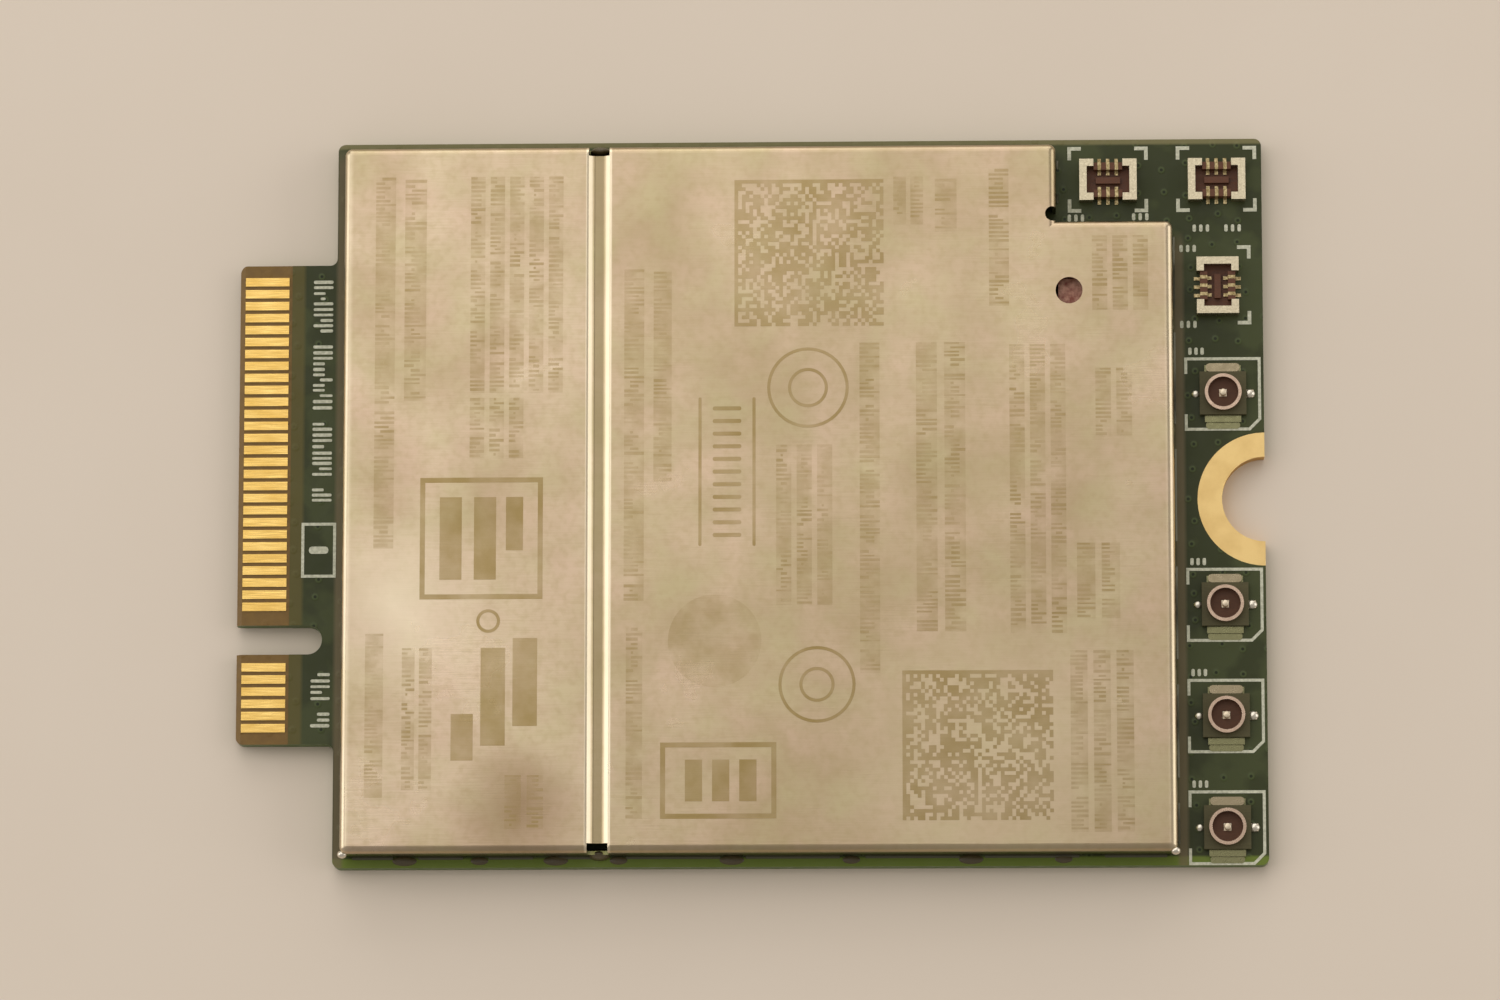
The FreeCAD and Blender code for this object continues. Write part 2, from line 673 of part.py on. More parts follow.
def footprint(name):
    """Length and width that a package or a bank takes up on the board."""
    if name in PACKAGES:
        return PACKAGES[name][:2]
    length, width, height = CHIPS[name]
    return (
        BANK_ROWS[name] * (length + CHIP_GAP) - CHIP_GAP,
        BANK_COLUMNS[name] * (width + CHIP_GAP) - CHIP_GAP,
    )


def bay_limits(bay):
    """The free floor of a bay inside the can, as x0, x1, y0, y1."""
    low, high = can_bottom + SHEET, can_top - SHEET
    groove_wall = GROOVE_FLOOR_WIDTH / 2 + GROOVE_SIDE_RUN
    if bay == "short_bay":
        return can_left + SHEET, groove_x - groove_wall, low, high
    if bay == "long_bay":
        return groove_x + groove_wall, can_step_x - SHEET, low, high
    return can_step_x - SHEET, can_right - SHEET, low, can_step_y - SHEET


def package_places():
    """Centre of every package and bank, spread evenly over the columns of its bay."""
    places = {}
    for bay, columns in BAYS.items():
        x0, x1, y0, y1 = bay_limits(bay)
        lengths = [max(footprint(name)[0] for name in column) for column in columns]
        for x, column in zip(spread(x0, x1, lengths), columns):
            for y, name in zip(spread(y0, y1, [footprint(name)[1] for name in column]), column):
                places[name] = (x, y)
    return places


def thermal_pad(package, x, y):
    """Soft gap filler between a package and the roof of the can."""
    length, width, height = PACKAGES[package]
    dx, dy = length / 2 - THERMAL_PAD_MARGIN, width / 2 - THERMAL_PAD_MARGIN
    return block(x - dx, x + dx, y - dy, y + dy, board_top + height, can_roof - SHEET)


def all_pieces():
    """Every node's name with its solids."""
    pieces = {
        "circuit_board": [circuit_board()],
        "edge_contacts_top": edge_contacts(1, board_top - COPPER_THICKNESS),
        "edge_contacts_bottom": edge_contacts(2, 0),
        "screw_ground_pads": screw_ground_pads(),
        "test_pads": test_pads(),
        "shield_can": [shield_can()],
        "shield_solder": shield_solder(),
    }
    for number, (x, y) in enumerate(antennas, 1):
        pieces[f"antenna_{number}_ground_shell"] = [placed(ground_shell(), x, y)]
        pieces[f"antenna_{number}_insulator"] = [placed(receptacle_insulator(), x, y)]
        pieces[f"antenna_{number}_signal_pin"] = [placed(signal_pin(), x, y)]
    for number, (x, y, turned) in enumerate(sockets, 1):
        pieces[f"mmwave_{number}_housing"] = [placed(socket_housing(), x, y, turned)]
        pieces[f"mmwave_{number}_end_clips"] = [placed(s, x, y, turned) for s in end_clips()]
        pieces[f"mmwave_{number}_contacts"] = [placed(s, x, y, turned) for s in socket_contacts()]
    places = package_places()
    for name, size in PACKAGES.items():
        pieces[name] = [placed(chip_package(*size), *places[name])]
    for name in CHIPS:
        pieces[name] = [placed(chip, *places[name]) for chip in chip_bank(name)]
    for name, package in THERMAL_PADS.items():
        pieces[name] = [thermal_pad(package, *places[package])]
    return pieces


os.makedirs("parts", exist_ok=True)
for node, solids in all_pieces().items():
    shape = solids[0] if len(solids) == 1 else Part.makeCompound(solids)
    shape.exportStep(f"parts/{node}.step")
    print(f"{node}: {len(solids)} solids, {shape.Volume:.3f} mm3, valid {shape.isValid()}")
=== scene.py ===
import json
import math
import random

import bmesh
import bpy
from mathutils import Matrix, Vector


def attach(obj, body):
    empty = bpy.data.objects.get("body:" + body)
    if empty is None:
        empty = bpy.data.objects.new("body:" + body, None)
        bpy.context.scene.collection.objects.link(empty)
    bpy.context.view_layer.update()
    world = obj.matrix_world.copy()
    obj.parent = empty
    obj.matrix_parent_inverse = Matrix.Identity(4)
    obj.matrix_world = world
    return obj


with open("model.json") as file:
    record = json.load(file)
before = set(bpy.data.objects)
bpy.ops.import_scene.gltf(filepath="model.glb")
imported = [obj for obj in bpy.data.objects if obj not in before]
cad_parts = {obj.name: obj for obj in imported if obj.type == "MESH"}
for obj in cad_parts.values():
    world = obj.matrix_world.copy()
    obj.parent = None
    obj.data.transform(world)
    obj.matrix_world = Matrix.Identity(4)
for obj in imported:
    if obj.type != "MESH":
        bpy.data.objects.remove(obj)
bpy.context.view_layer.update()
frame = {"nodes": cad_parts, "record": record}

# Circuit board: glass-epoxy laminate under dark green solder mask, routed to its outline.
# The mask stops short of the gold fingers, where amber laminate shows, and the cut edges
# show the plies of glass cloth. The half-round screw notch is plated through.
MM = 0.001
MASK_END = -18.85
NOTCH_CENTRE = (21.0, 0.0, 0.4)
NOTCH_REACH = 1.9
POUR_PATCH = 2.4
VIA_PITCH = 1.05
VIA_RADIUS = 0.13
# Where a via's rim, hole and dimple start and are full, in shares of its radius
VIA_RIM, VIA_HOLE, VIA_DIMPLE = (1.2, 0.9), (0.55, 0.4), (1.4, 0.7)
VIA_DEPTH = 0.012
PLY = 0.11
PLY_STRETCH = 9
GLASS_PATCH = 0.3
SATIN_PATCH = 0.6
EDGE_SLOPE = 0.3
# Changes in the mask's colour as (axis, where it starts, where it is full, share, colour): a stronger
# green past the end of the copper, chalky from the router along the far edge, and browner over
# the buried ends of the fingers
MASK_SHADES = [
    ("Y", -14.58, -14.68, 1.0, "#62702A"),
    ("Y", 14.75, 14.85, 1.0, "#706A46"),
    ("X", -18.25, -18.4, 0.8, "#5A5128"),
]
# Brown painted shadow along the can's end walls as (middle along X, end along Y), on the top side
WALL_SHADOW_BANDS = [(-16.8, 15.0), (17.55, 11.2)]
WALL_SHADOW_START, WALL_SHADOW_FULL, WALL_SHADOW_SHARE = 0.28, 0.12, 0.7
WALL_SHADOW_FADE = 0.9
TOP_SIDE = 0.7

# Sockets of a Mix node that is set to colour: its factor, its two colours and its result
FACTOR, FIRST, SECOND, MIXED = 0, 6, 7, 2


def linear(code):
    """Linear RGBA of an sRGB hex colour."""
    channels = [int(code[k:k + 2], 16) / 255 for k in (1, 3, 5)]
    return [c / 12.92 if c <= 0.04045 else ((c + 0.055) / 1.055) ** 2.4 for c in channels] + [1.0]


def add(tree, kind, settings):
    """Adds a shader node and returns its outputs. A setting is one of its properties, or an input by name
    or number, which takes a link from a socket, a hex colour or a plain value."""
    made = tree.nodes.new("ShaderNode" + kind)
    for key, value in settings.items():
        if isinstance(key, str) and hasattr(made, key):
            setattr(made, key, value)
        elif isinstance(value, bpy.types.NodeSocket):
            tree.links.new(value, made.inputs[key])
        else:
            made.inputs[key].default_value = linear(value) if isinstance(value, str) else value
    return made.outputs


def new_finish(name):
    """A new material without a surface yet: itself, its node tree and a point's place on the object."""
    made = bpy.data.materials.new(name)
    made.use_nodes = True
    made.node_tree.nodes.clear()
    return made, made.node_tree, add(made.node_tree, "TexCoord", {})["Object"]


def dress(finish, *names):
    """Gives carried-over nodes their finish."""
    for name in names:
        for slot in frame["nodes"][name].material_slots:
            slot.material = finish


# Liquid photo-imaged mask: satin, darker between the copper areas below it, with tented vias
board_finish, tree, place = new_finish("green_solder_mask_on_glass_epoxy")
pour = add(tree, "TexNoise", {"Vector": place, "Scale": 1 / (POUR_PATCH * MM), "Detail": 3.0})["Fac"]
pour = add(tree, "MapRange", {"Value": pour, "From Min": 0.46, "From Max": 0.54})[0]
green = add(tree, "Mix", {"data_type": "RGBA", FACTOR: pour, FIRST: "#33371C", SECOND: "#3F4426"})[MIXED]
cells = {"voronoi_dimensions": "2D", "Vector": place, "Scale": 1 / (VIA_PITCH * MM), "Randomness": 0.35}
via = add(tree, "TexVoronoi", cells)["Distance"]
radius = VIA_RADIUS / VIA_PITCH
for (start, full), shade in ((VIA_RIM, "#434B2A"), (VIA_HOLE, "#20250F")):
    within = add(tree, "MapRange", {"Value": via, "From Min": radius * start, "From Max": radius * full})[0]
    green = add(tree, "Mix", {"data_type": "RGBA", FACTOR: within, FIRST: green, SECOND: shade})[MIXED]
spot = add(tree, "SeparateXYZ", {0: place})
for axis, start, full, share, shade in MASK_SHADES:
    settings = {"Value": spot[axis], "From Min": start * MM, "From Max": full * MM, "To Max": share}
    within = add(tree, "MapRange", settings)[0]
    green = add(tree, "Mix", {"data_type": "RGBA", FACTOR: within, FIRST: green, SECOND: shade})[MIXED]
on_top = add(tree, "Math", {"operation": "GREATER_THAN", 0: spot["Z"], 1: TOP_SIDE * MM})[0]
# Painted shadow: a brown band on the board's top beside each end wall of the can, fading out along Y
for middle, end in WALL_SHADOW_BANDS:
    off = add(tree, "Math", {"operation": "SUBTRACT", 0: spot["X"], 1: middle * MM})[0]
    off = add(tree, "Math", {"operation": "ABSOLUTE", 0: off})[0]
    settings = {"Value": off, "From Min": WALL_SHADOW_START * MM, "From Max": WALL_SHADOW_FULL * MM, "To Max": WALL_SHADOW_SHARE}
    wall_shadow = add(tree, "MapRange", settings)[0]
    settings = {"Value": spot["Y"], "From Min": end * MM, "From Max": (end - WALL_SHADOW_FADE) * MM}
    beside = add(tree, "MapRange", settings)[0]
    wall_shadow = add(tree, "Math", {"operation": "MULTIPLY", 0: wall_shadow, 1: beside})[0]
    wall_shadow = add(tree, "Math", {"operation": "MULTIPLY", 0: wall_shadow, 1: on_top})[0]
    green = add(tree, "Mix", {"data_type": "RGBA", FACTOR: wall_shadow, FIRST: green, SECOND: "#6E6046"})[MIXED]
bare = add(tree, "Math", {"operation": "LESS_THAN", 0: spot["X"], 1: MASK_END * MM})[0]
glass = add(tree, "TexNoise", {"Vector": place, "Scale": 1 / (GLASS_PATCH * MM), "Detail": 3.0})["Fac"]
amber = add(tree, "Mix", {"data_type": "RGBA", FACTOR: glass, FIRST: "#644B27", SECOND: "#7C6032"})[MIXED]
face = add(tree, "Mix", {"data_type": "RGBA", FACTOR: bare, FIRST: green, SECOND: amber})[MIXED]
# The cut edge is where the surface stands upright
facing = add(tree, "SeparateXYZ", {0: add(tree, "TexCoord", {})["Normal"]})["Z"]
facing = add(tree, "Math", {"operation": "ABSOLUTE", 0: facing})[0]
edge = add(tree, "Math", {"operation": "LESS_THAN", 0: facing, 1: EDGE_SLOPE})[0]
drawn_out = add(tree, "Mapping", {"Vector": place, "Scale": (1 / PLY_STRETCH, 1 / PLY_STRETCH, 1)})[0]
plies = add(tree, "TexNoise", {"Vector": drawn_out, "Scale": 1 / (PLY * MM), "Detail": 3.0})["Fac"]
cut = add(tree, "Mix", {"data_type": "RGBA", FACTOR: plies, FIRST: "#3F5426", SECOND: "#62753C"})[MIXED]
colour = add(tree, "Mix", {"data_type": "RGBA", FACTOR: edge, FIRST: face, SECOND: cut})[MIXED]
settings = {"operation": "DISTANCE", 0: place, 1: [c * MM for c in NOTCH_CENTRE]}
away = add(tree, "VectorMath", settings)["Value"]
by_notch = add(tree, "Math", {"operation": "LESS_THAN", 0: away, 1: NOTCH_REACH * MM})[0]
plated = add(tree, "Math", {"operation": "MULTIPLY", 0: by_notch, 1: edge})[0]
colour = add(tree, "Mix", {"data_type": "RGBA", FACTOR: plated, FIRST: colour, SECOND: "#D6A84C"})[MIXED]
satin = add(tree, "TexNoise", {"Vector": place, "Scale": 1 / (SATIN_PATCH * MM), "Detail": 3.0})["Fac"]
settings = {"Value": satin, "From Min": 0.3, "From Max": 0.7, "To Min": 0.32, "To Max": 0.5}
satin = add(tree, "MapRange", settings)[0]
settings = {"Value": via, "From Min": radius * VIA_DIMPLE[0], "From Max": radius * VIA_DIMPLE[1]}
dimple = add(tree, "MapRange", settings)[0]
bump = add(tree, "Bump", {"Height": dimple, "Distance": VIA_DEPTH * MM})[0]
settings = {"Base Color": colour, "Metallic": plated, "Roughness": satin, "Normal": bump,
            "Specular IOR Level": 0.2}
add(tree, "OutputMaterial", {"Surface": add(tree, "BsdfPrincipled", settings)[0]})
dress(board_finish, "circuit_board")

# Edge contacts: copper fingers on both faces of the tab, plated with nickel and then with hard
# gold for wear. Each insertion draws fine lines along them, towards the card.
RUB_LINE = 0.04
RUB_STRETCH = 24
RUB_DEPTH = 0.003
WIPE_PATCH = 0.8
WIPE_STRETCH = 2

# Hard gold: bright, with rub lines drawn coarser than the real few micrometres so that they show
finger_finish, tree, place = new_finish("hard_gold_on_nickel")
drawn_out = add(tree, "Mapping", {"Vector": place, "Scale": (1 / RUB_STRETCH, 1, 1)})[0]
rub = add(tree, "TexNoise", {"Vector": drawn_out, "Scale": 1 / (RUB_LINE * MM), "Detail": 4.0})["Fac"]
lines = add(tree, "MapRange", {"Value": rub, "From Min": 0.35, "From Max": 0.65})[0]
gold = add(tree, "Mix", {"data_type": "RGBA", FACTOR: lines, FIRST: "#E6C478", SECOND: "#D6AF60"})[MIXED]
drawn_out = add(tree, "Mapping", {"Vector": place, "Scale": (1 / WIPE_STRETCH, 1, 1)})[0]
wipe = add(tree, "TexNoise", {"Vector": drawn_out, "Scale": 1 / (WIPE_PATCH * MM), "Detail": 3.0})["Fac"]
wipe = add(tree, "MapRange", {"Value": wipe, "From Min": 0.35, "From Max": 0.7})[0]
gold = add(tree, "Mix", {"data_type": "RGBA", FACTOR: wipe, FIRST: gold, SECOND: "#D0A858"})[MIXED]
settings = {"Value": rub, "From Min": 0.3, "From Max": 0.7, "To Min": 0.2, "To Max": 0.42}
rubbed = add(tree, "MapRange", settings)[0]
bump = add(tree, "Bump", {"Height": rub, "Distance": RUB_DEPTH * MM})[0]
settings = {"Base Color": gold, "Metallic": 1.0, "Roughness": rubbed, "Normal": bump}
add(tree, "OutputMaterial", {"Surface": add(tree, "BsdfPrincipled", settings)[0]})
dress(finger_finish, "edge_contacts_top", "edge_contacts_bottom")

# Screw and test pads: the same copper, open in the mask and dipped in immersion gold, which
# is thinner and more matt than the fingers' hard gold. The screw's head rests on the half ring.
GOLD_GRAIN = 0.05
GOLD_GRAIN_DEPTH = 0.004
WORN_PATCH = 1.1

# Immersion gold: pale and matt, with the copper's grain drawn coarser than it is so that it shows
pad_finish, tree, place = new_finish("immersion_gold_on_copper")
grain = add(tree, "TexNoise", {"Vector": place, "Scale": 1 / (GOLD_GRAIN * MM), "Detail": 4.0})["Fac"]
worn = add(tree, "TexNoise", {"Vector": place, "Scale": 1 / (WORN_PATCH * MM), "Detail": 3.0})["Fac"]
worn = add(tree, "MapRange", {"Value": worn, "From Min": 0.4, "From Max": 0.65})[0]
gold = add(tree, "Mix", {"data_type": "RGBA", FACTOR: worn, FIRST: "#E1C182", SECOND: "#D6B476"})[MIXED]
settings = {"Value": grain, "From Min": 0.3, "From Max": 0.7, "To Min": 0.3, "To Max": 0.46}
matt = add(tree, "MapRange", settings)[0]
bump = add(tree, "Bump", {"Height": grain, "Distance": GOLD_GRAIN_DEPTH * MM})[0]
settings = {"Base Color": gold, "Metallic": 1.0, "Roughness": matt, "Normal": bump}
add(tree, "OutputMaterial", {"Surface": add(tree, "BsdfPrincipled", settings)[0]})
dress(pad_finish, "screw_ground_pads", "test_pads")

# Printed legend: white epoxy ink, screened on the mask in lines about 0.12 mm wide. It frames
# each antenna receptacle, marks the corners of each socket and runs along the tab's shoulder.
INK_LINE = 0.12
INK_BASE, INK_TOP = 0.79, 0.815
INK_PATCH = 0.12
INK_GRAIN = 0.04
INK_GRAIN_DEPTH = 0.004
LINE_END_ROUNDING = 0.4
ANTENNA_FRAME = (3.0, 2.92)
FRAME_CHAMFER = 0.42
FRAME_TICK = 0.62
# Three short index marks above each frame, from and to a height over it
INDEX_LINE = 0.14
INDEX_PITCH = 0.25
INDEX_PLACES = (0.7, 1.7, 2.7)
INDEX_LOW, INDEX_HIGH = 0.24, 0.4
SOCKET_FRAME = (3.15, 2.6)
SOCKET_FRAME_LIFT = 0.1
CORNER_ARM = 0.48
CORNER_LINE = 0.15
# Middles of short runs of three ticks by the sockets
SOCKET_TICKS = [(13.38, 11.72), (16.02, 11.76), (18.5, 11.27), (19.8, 11.27), (17.95, 10.42), (17.95, 7.25)]
SOCKET_TICK_WIDTH, SOCKET_TICK_LENGTH = 0.14, 0.3
SOCKET_TICK_PITCH = 0.27
# Rows of ticks along the shoulder as (x0, x1, y0, y1), the range of a tick's width, of the gap after it
# and of the ticks in a word, and what may be cut off a tick's foot and head
SHOULDER_ROWS = [(-17.97, -17.16, 0.0, 9.3), (-17.95, -17.16, -9.24, -7.0)]
PRINT_TICK = (0.1, 0.14)
PRINT_GAP = (0.09, 0.14)
PRINT_WORD = (5, 14)
PRINT_WORD_GAP = 0.42
PRINT_FOOT = (0, 0, 0.35)
PRINT_HEAD = (0, 0, 0, 0.4)
PRINT_SEED = 7
SIDE_BOX = (-18.32, -17.02, -3.0, -0.85)
SIDE_BAR_LENGTH, SIDE_BAR_WIDTH = 0.5, 0.3
mounts = {m["name"]: [c / MM for c in m["pos_m"]] for m in frame["record"]["mounts"]}
ANTENNAS = [mounts[f"antenna_{number}"] for number in range(1, 5)]
SOCKETS = [mounts[f"mmwave_{number}"] for number in range(1, 4)]


def stroke(mesh, start, end, width, low, high):
    """Adds one line with rounded ends to a bmesh, in millimetres, from low to high."""
    start, end = Vector(start), Vector(end)
    along = end - start
    middle = ((start + end) / 2).to_3d() + Vector((0, 0, (low + high) / 2))
    turn = Matrix.Rotation(math.atan2(along.y, along.x), 4, "Z")
    size = Matrix.Diagonal((along.length + width, width, high - low, 1))
    place = Matrix.Diagonal((MM, MM, MM, 1)) @ Matrix.Translation(middle) @ turn @ size
    corners = bmesh.ops.create_cube(mesh, size=1, matrix=place)["verts"]
    half = (high - low) / 2 * MM
    edges = dict.fromkeys(e for v in corners for e in v.link_edges)
    upright = [e for e in edges if abs(e.verts[0].co.z - e.verts[1].co.z) > half]
    bmesh.ops.bevel(mesh, geom=upright, offset=width * LINE_END_ROUNDING * MM, offset_type="OFFSET",
                    segments=2, profile=0.5, affect="EDGES", material=-1)


def band(mesh, points, width, low, high):
    """Adds a line through points with mitred corners, in millimetres, closed if it ends where it began."""
    closed = points[0] == points[-1]
    spots = [Vector(p) for p in (points[1:] if closed else points)]
    rails = []
    for k, spot in enumerate(spots):
        before = spot - spots[k - 1] if closed or k else spots[1] - spot
        after = spots[(k + 1) % len(spots)] - spot if closed or k + 1 < len(spots) else before
        sides = [Vector((-run.y, run.x)).normalized() for run in (before, after)]
        mitre = (sides[0] + sides[1]).normalized()
        out = mitre * (width / 2 / mitre.dot(sides[0]))
        section = ((spot + out, low), (spot - out, low), (spot - out, high), (spot + out, high))
        rails.append([mesh.verts.new((c.x * MM, c.y * MM, z * MM)) for c, z in section])
    for one, other in zip(rails, rails[1:] + rails[:1] if closed else rails[1:]):
        for k in range(4):
            mesh.faces.new((one[k], one[(k + 1) % 4], other[(k + 1) % 4], other[k]))
    if not closed:
        mesh.faces.new(rails[0])
        mesh.faces.new(rails[-1])


def box_outline(x0, x1, y0, y1):
    """The closed outline of a rectangle."""
    return [(x0, y0), (x0, y1), (x1, y1), (x1, y0), (x0, y0)]


def words(draw, y0, y1, word, tick, gap, word_gap):
    """Gives the (top, width) of each tick in words of uneven length, from y1 down to y0."""
    y = y1
    while y > y0 + word_gap:
        for _ in range(draw.randint(*word)):
            width = draw.uniform(*tick)
            if y - width < y0:
                break
            yield y, width
            y -= width + draw.uniform(*gap)
        y -= word_gap


def new_piece(name, mesh, finish, smooth=False):
    """Makes a bmesh into a piece that rides on the card."""
    bmesh.ops.recalc_face_normals(mesh, faces=mesh.faces)
    for face in mesh.faces:
        face.smooth = smooth
    data = bpy.data.meshes.new(name)
    mesh.to_mesh(data)
    mesh.free()
    data.materials.append(finish)
    made = bpy.data.objects.new(name, data)
    bpy.context.scene.collection.objects.link(made)
    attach(made, "root")


# Screened ink: matt, thin in places, with its grain drawn coarser than it is so that it shows
ink_finish, tree, place = new_finish("white_legend_ink")
thin = add(tree, "TexNoise", {"Vector": place, "Scale": 1 / (INK_PATCH * MM), "Detail": 3.0})["Fac"]
thin = add(tree, "MapRange", {"Value": thin, "From Min": 0.35, "From Max": 0.7})[0]
white = add(tree, "Mix", {"data_type": "RGBA", FACTOR: thin, FIRST: "#C6C4AE", SECOND: "#A5A48E"})[MIXED]
grain = add(tree, "TexNoise", {"Vector": place, "Scale": 1 / (INK_GRAIN * MM), "Detail": 3.0})["Fac"]
bump = add(tree, "Bump", {"Height": grain, "Distance": INK_GRAIN_DEPTH * MM})[0]
settings = {"Base Color": white, "Roughness": 0.62, "Normal": bump}
add(tree, "OutputMaterial", {"Surface": add(tree, "BsdfPrincipled", settings)[0]})

legend = bmesh.new()
for x, y, _ in ANTENNAS:
    left, right = x - ANTENNA_FRAME[0] / 2, x + ANTENNA_FRAME[0] / 2
    low, high = y - ANTENNA_FRAME[1] / 2, y + ANTENNA_FRAME[1] / 2
    outline = [(left, high - FRAME_TICK), (left, high), (right, high), (right, low + FRAME_CHAMFER),
               (right - FRAME_CHAMFER, low), (left, low), (left, low + FRAME_TICK)]
    band(legend, outline, INK_LINE, INK_BASE, INK_TOP)
    for index in INDEX_PLACES:
        mark = left + INDEX_PITCH * index
        stroke(legend, (mark, high + INDEX_LOW), (mark, high + INDEX_HIGH), INDEX_LINE, INK_BASE, INK_TOP)
new_piece("antenna_legend", legend, ink_finish)

# The third socket is turned, and only its outer side has corner marks
legend = bmesh.new()
for number, (x, y, _) in enumerate(SOCKETS, 1):
    turned = number == 3
    half = [s / 2 for s in (reversed(SOCKET_FRAME) if turned else SOCKET_FRAME)]
    for sx in ((1,) if turned else (-1, 1)):
        for sy in (-1, 1):
            corner = (x + sx * half[0], y + SOCKET_FRAME_LIFT + sy * half[1])
            inward = (corner[0] - sx * CORNER_ARM, corner[1] - sy * CORNER_ARM)
            arms = [(inward[0], corner[1]), corner, (corner[0], inward[1])]
            band(legend, arms, CORNER_LINE, INK_BASE, INK_TOP)
reach = (SOCKET_TICK_LENGTH - SOCKET_TICK_WIDTH) / 2
for x, y in SOCKET_TICKS:
    for k in (-1, 0, 1):
        tick = x + SOCKET_TICK_PITCH * k
        stroke(legend, (tick, y - reach), (tick, y + reach), SOCKET_TICK_WIDTH, INK_BASE, INK_TOP)
new_piece("socket_legend", legend, ink_finish)

legend = bmesh.new()
draw = random.Random(PRINT_SEED)
for x0, x1, y0, y1 in SHOULDER_ROWS:
    for y, width in words(draw, y0, y1, PRINT_WORD, PRINT_TICK, PRINT_GAP, PRINT_WORD_GAP):
        foot = x0 + draw.choice(PRINT_FOOT) * (x1 - x0) + width / 2
        head = x1 - draw.choice(PRINT_HEAD) * (x1 - x0) - width / 2
        stroke(legend, (foot, y - width / 2), (head, y - width / 2), width, INK_BASE, INK_TOP)
band(legend, box_outline(*SIDE_BOX), INK_LINE, INK_BASE, INK_TOP)
x, y = (SIDE_BOX[0] + SIDE_BOX[1]) / 2, (SIDE_BOX[2] + SIDE_BOX[3]) / 2
reach = SIDE_BAR_LENGTH / 2
stroke(legend, (x - reach, y), (x + reach, y), SIDE_BAR_WIDTH, INK_BASE, INK_TOP)
new_piece("shoulder_legend", legend, ink_finish)

# Chip packages: dies moulded in black epoxy, sawn apart and soldered to the board before the
# can goes on. The saw and the moulding film leave an even, very fine grain.
PACKAGES = ["power_manager", "low_band_amplifier", "subscriber_identity_chip", "modem_processor",
            "memory_package", "rf_transceiver", "mmwave_transceiver", "front_end_module_1",
            "front_end_module_2", "front_end_module_3"]


def grained(name, constants, size, colours, roughness=None, stretch=(1, 1, 1), detail=3.0, contrast=(0, 1),
            polish=(0.3, 0.7), depth=None):
    """A material with one grain, of a size in millimetres that is drawn out by stretch. It runs between two
    colours and two roughnesses, and a depth raises it. Contrast is the part of the grain that the colours
    take up, and polish the part of that which the roughnesses take up."""
    made, tree, place = new_finish(name)
    drawn_out = add(tree, "Mapping", {"Vector": place, "Scale": [1 / s for s in stretch]})[0]
    grain = add(tree, "TexNoise", {"Vector": drawn_out, "Scale": 1 / (size * MM), "Detail": detail})["Fac"]
    grain = add(tree, "MapRange", {"Value": grain, "From Min": contrast[0], "From Max": contrast[1]})[0]
    blend = {"data_type": "RGBA", FACTOR: grain, FIRST: colours[0], SECOND: colours[1]}
    settings = {"Base Color": add(tree, "Mix", blend)[MIXED], **constants}
    if roughness:
        spread = {"Value": grain, "From Min": polish[0], "From Max": polish[1],
                  "To Min": roughness[0], "To Max": roughness[1]}
        settings["Roughness"] = add(tree, "MapRange", spread)[0]
    if depth:
        settings["Normal"] = add(tree, "Bump", {"Height": grain, "Distance": depth * MM})[0]
    add(tree, "OutputMaterial", {"Surface": add(tree, "BsdfPrincipled", settings)[0]})
    return made


# Mould compound: near black and matt, with its quartz filler drawn about twice as coarse so that it shows
mould_finish = grained("black_epoxy_mould_compound", {"IOR": 1.55}, size=0.05, colours=("#1D1D1F", "#303033"),
                       roughness=(0.5, 0.68), detail=5.0, depth=0.006)
dress(mould_finish, *PACKAGES)

# Reference oscillator: a quartz blank in a ceramic tray under a seam-welded metal lid. The lid is
# pale grey and finely brushed, in lines drawn coarser than they are so that they show.
lid_finish = grained("seam_welded_nickel_iron_lid", {"Metallic": 1.0}, size=0.04,
                     colours=("#A9A69E", "#C4C1B8"), roughness=(0.3, 0.45), stretch=(1, 12, 1), detail=4.0)
dress(lid_finish, "reference_oscillator")

# Power inductors: iron powder pressed round a coil and cured, then soldered to the board. They are
# dark grey and uneven, with grains drawn coarser than they are so that they show.
ferrite_finish = grained("pressed_iron_powder", {"IOR": 1.6}, size=0.06, colours=("#2C2C2E", "#4A4948"),
                         roughness=(0.45, 0.7), detail=5.0, depth=0.01)
dress(ferrite_finish, "power_inductors")

# Ceramic capacitors: fired barium titanate, red-brown with darker specks, barrel-tumbled so the
# edges are soft. The can's sight hole shows one of them, and their colour is painted lighter than
# the ceramic's own, as painted light that makes up for the shade inside the hole.
ceramic_finish = grained("fired_barium_titanate", {"Specular IOR Level": 0.25}, size=0.22,
                         colours=("#9C5442", "#E2AE96"), roughness=(0.35, 0.55), detail=4.0,
                         contrast=(0.35, 0.65))
dress(ceramic_finish, "input_capacitors", "decoupling_capacitors")

# Thermal pads: soft silicone filled with alumina, cut from sheet and pressed between two
# packages and the can's roof. They are grey blue and quite matt, with a grain like fine putty.
filler_finish = grained("filled_silicone_gap_pad", {"IOR": 1.42}, size=0.12, colours=("#8794A0", "#A2AEB8"),
                        roughness=(0.7, 0.85), detail=5.0, depth=0.015)
dress(filler_finish, "modem_thermal_pad", "power_thermal_pad")

# Antenna receptacles: a stamped and rolled ring, thinly gold plated, moulded into a dark brown
# liquid-crystal polymer base with a gold centre pin. Two bars and the pin's tail are soldered.
ANTENNA_NODES = [f"antenna_{number}_" for number in range(1, 5)]
HANDLED_PATCH = 0.25
DULL_BELOW, BRIGHT_ABOVE = 1.0, 1.16
STAMPED_GRAIN = 0.05
STAMPED_DEPTH = 0.003
FIBRE = 0.05
FIBRE_STRETCH = 4
FIBRE_DEPTH = 0.005
INSIDE_START, INSIDE_FULL = 0.72, 0.66

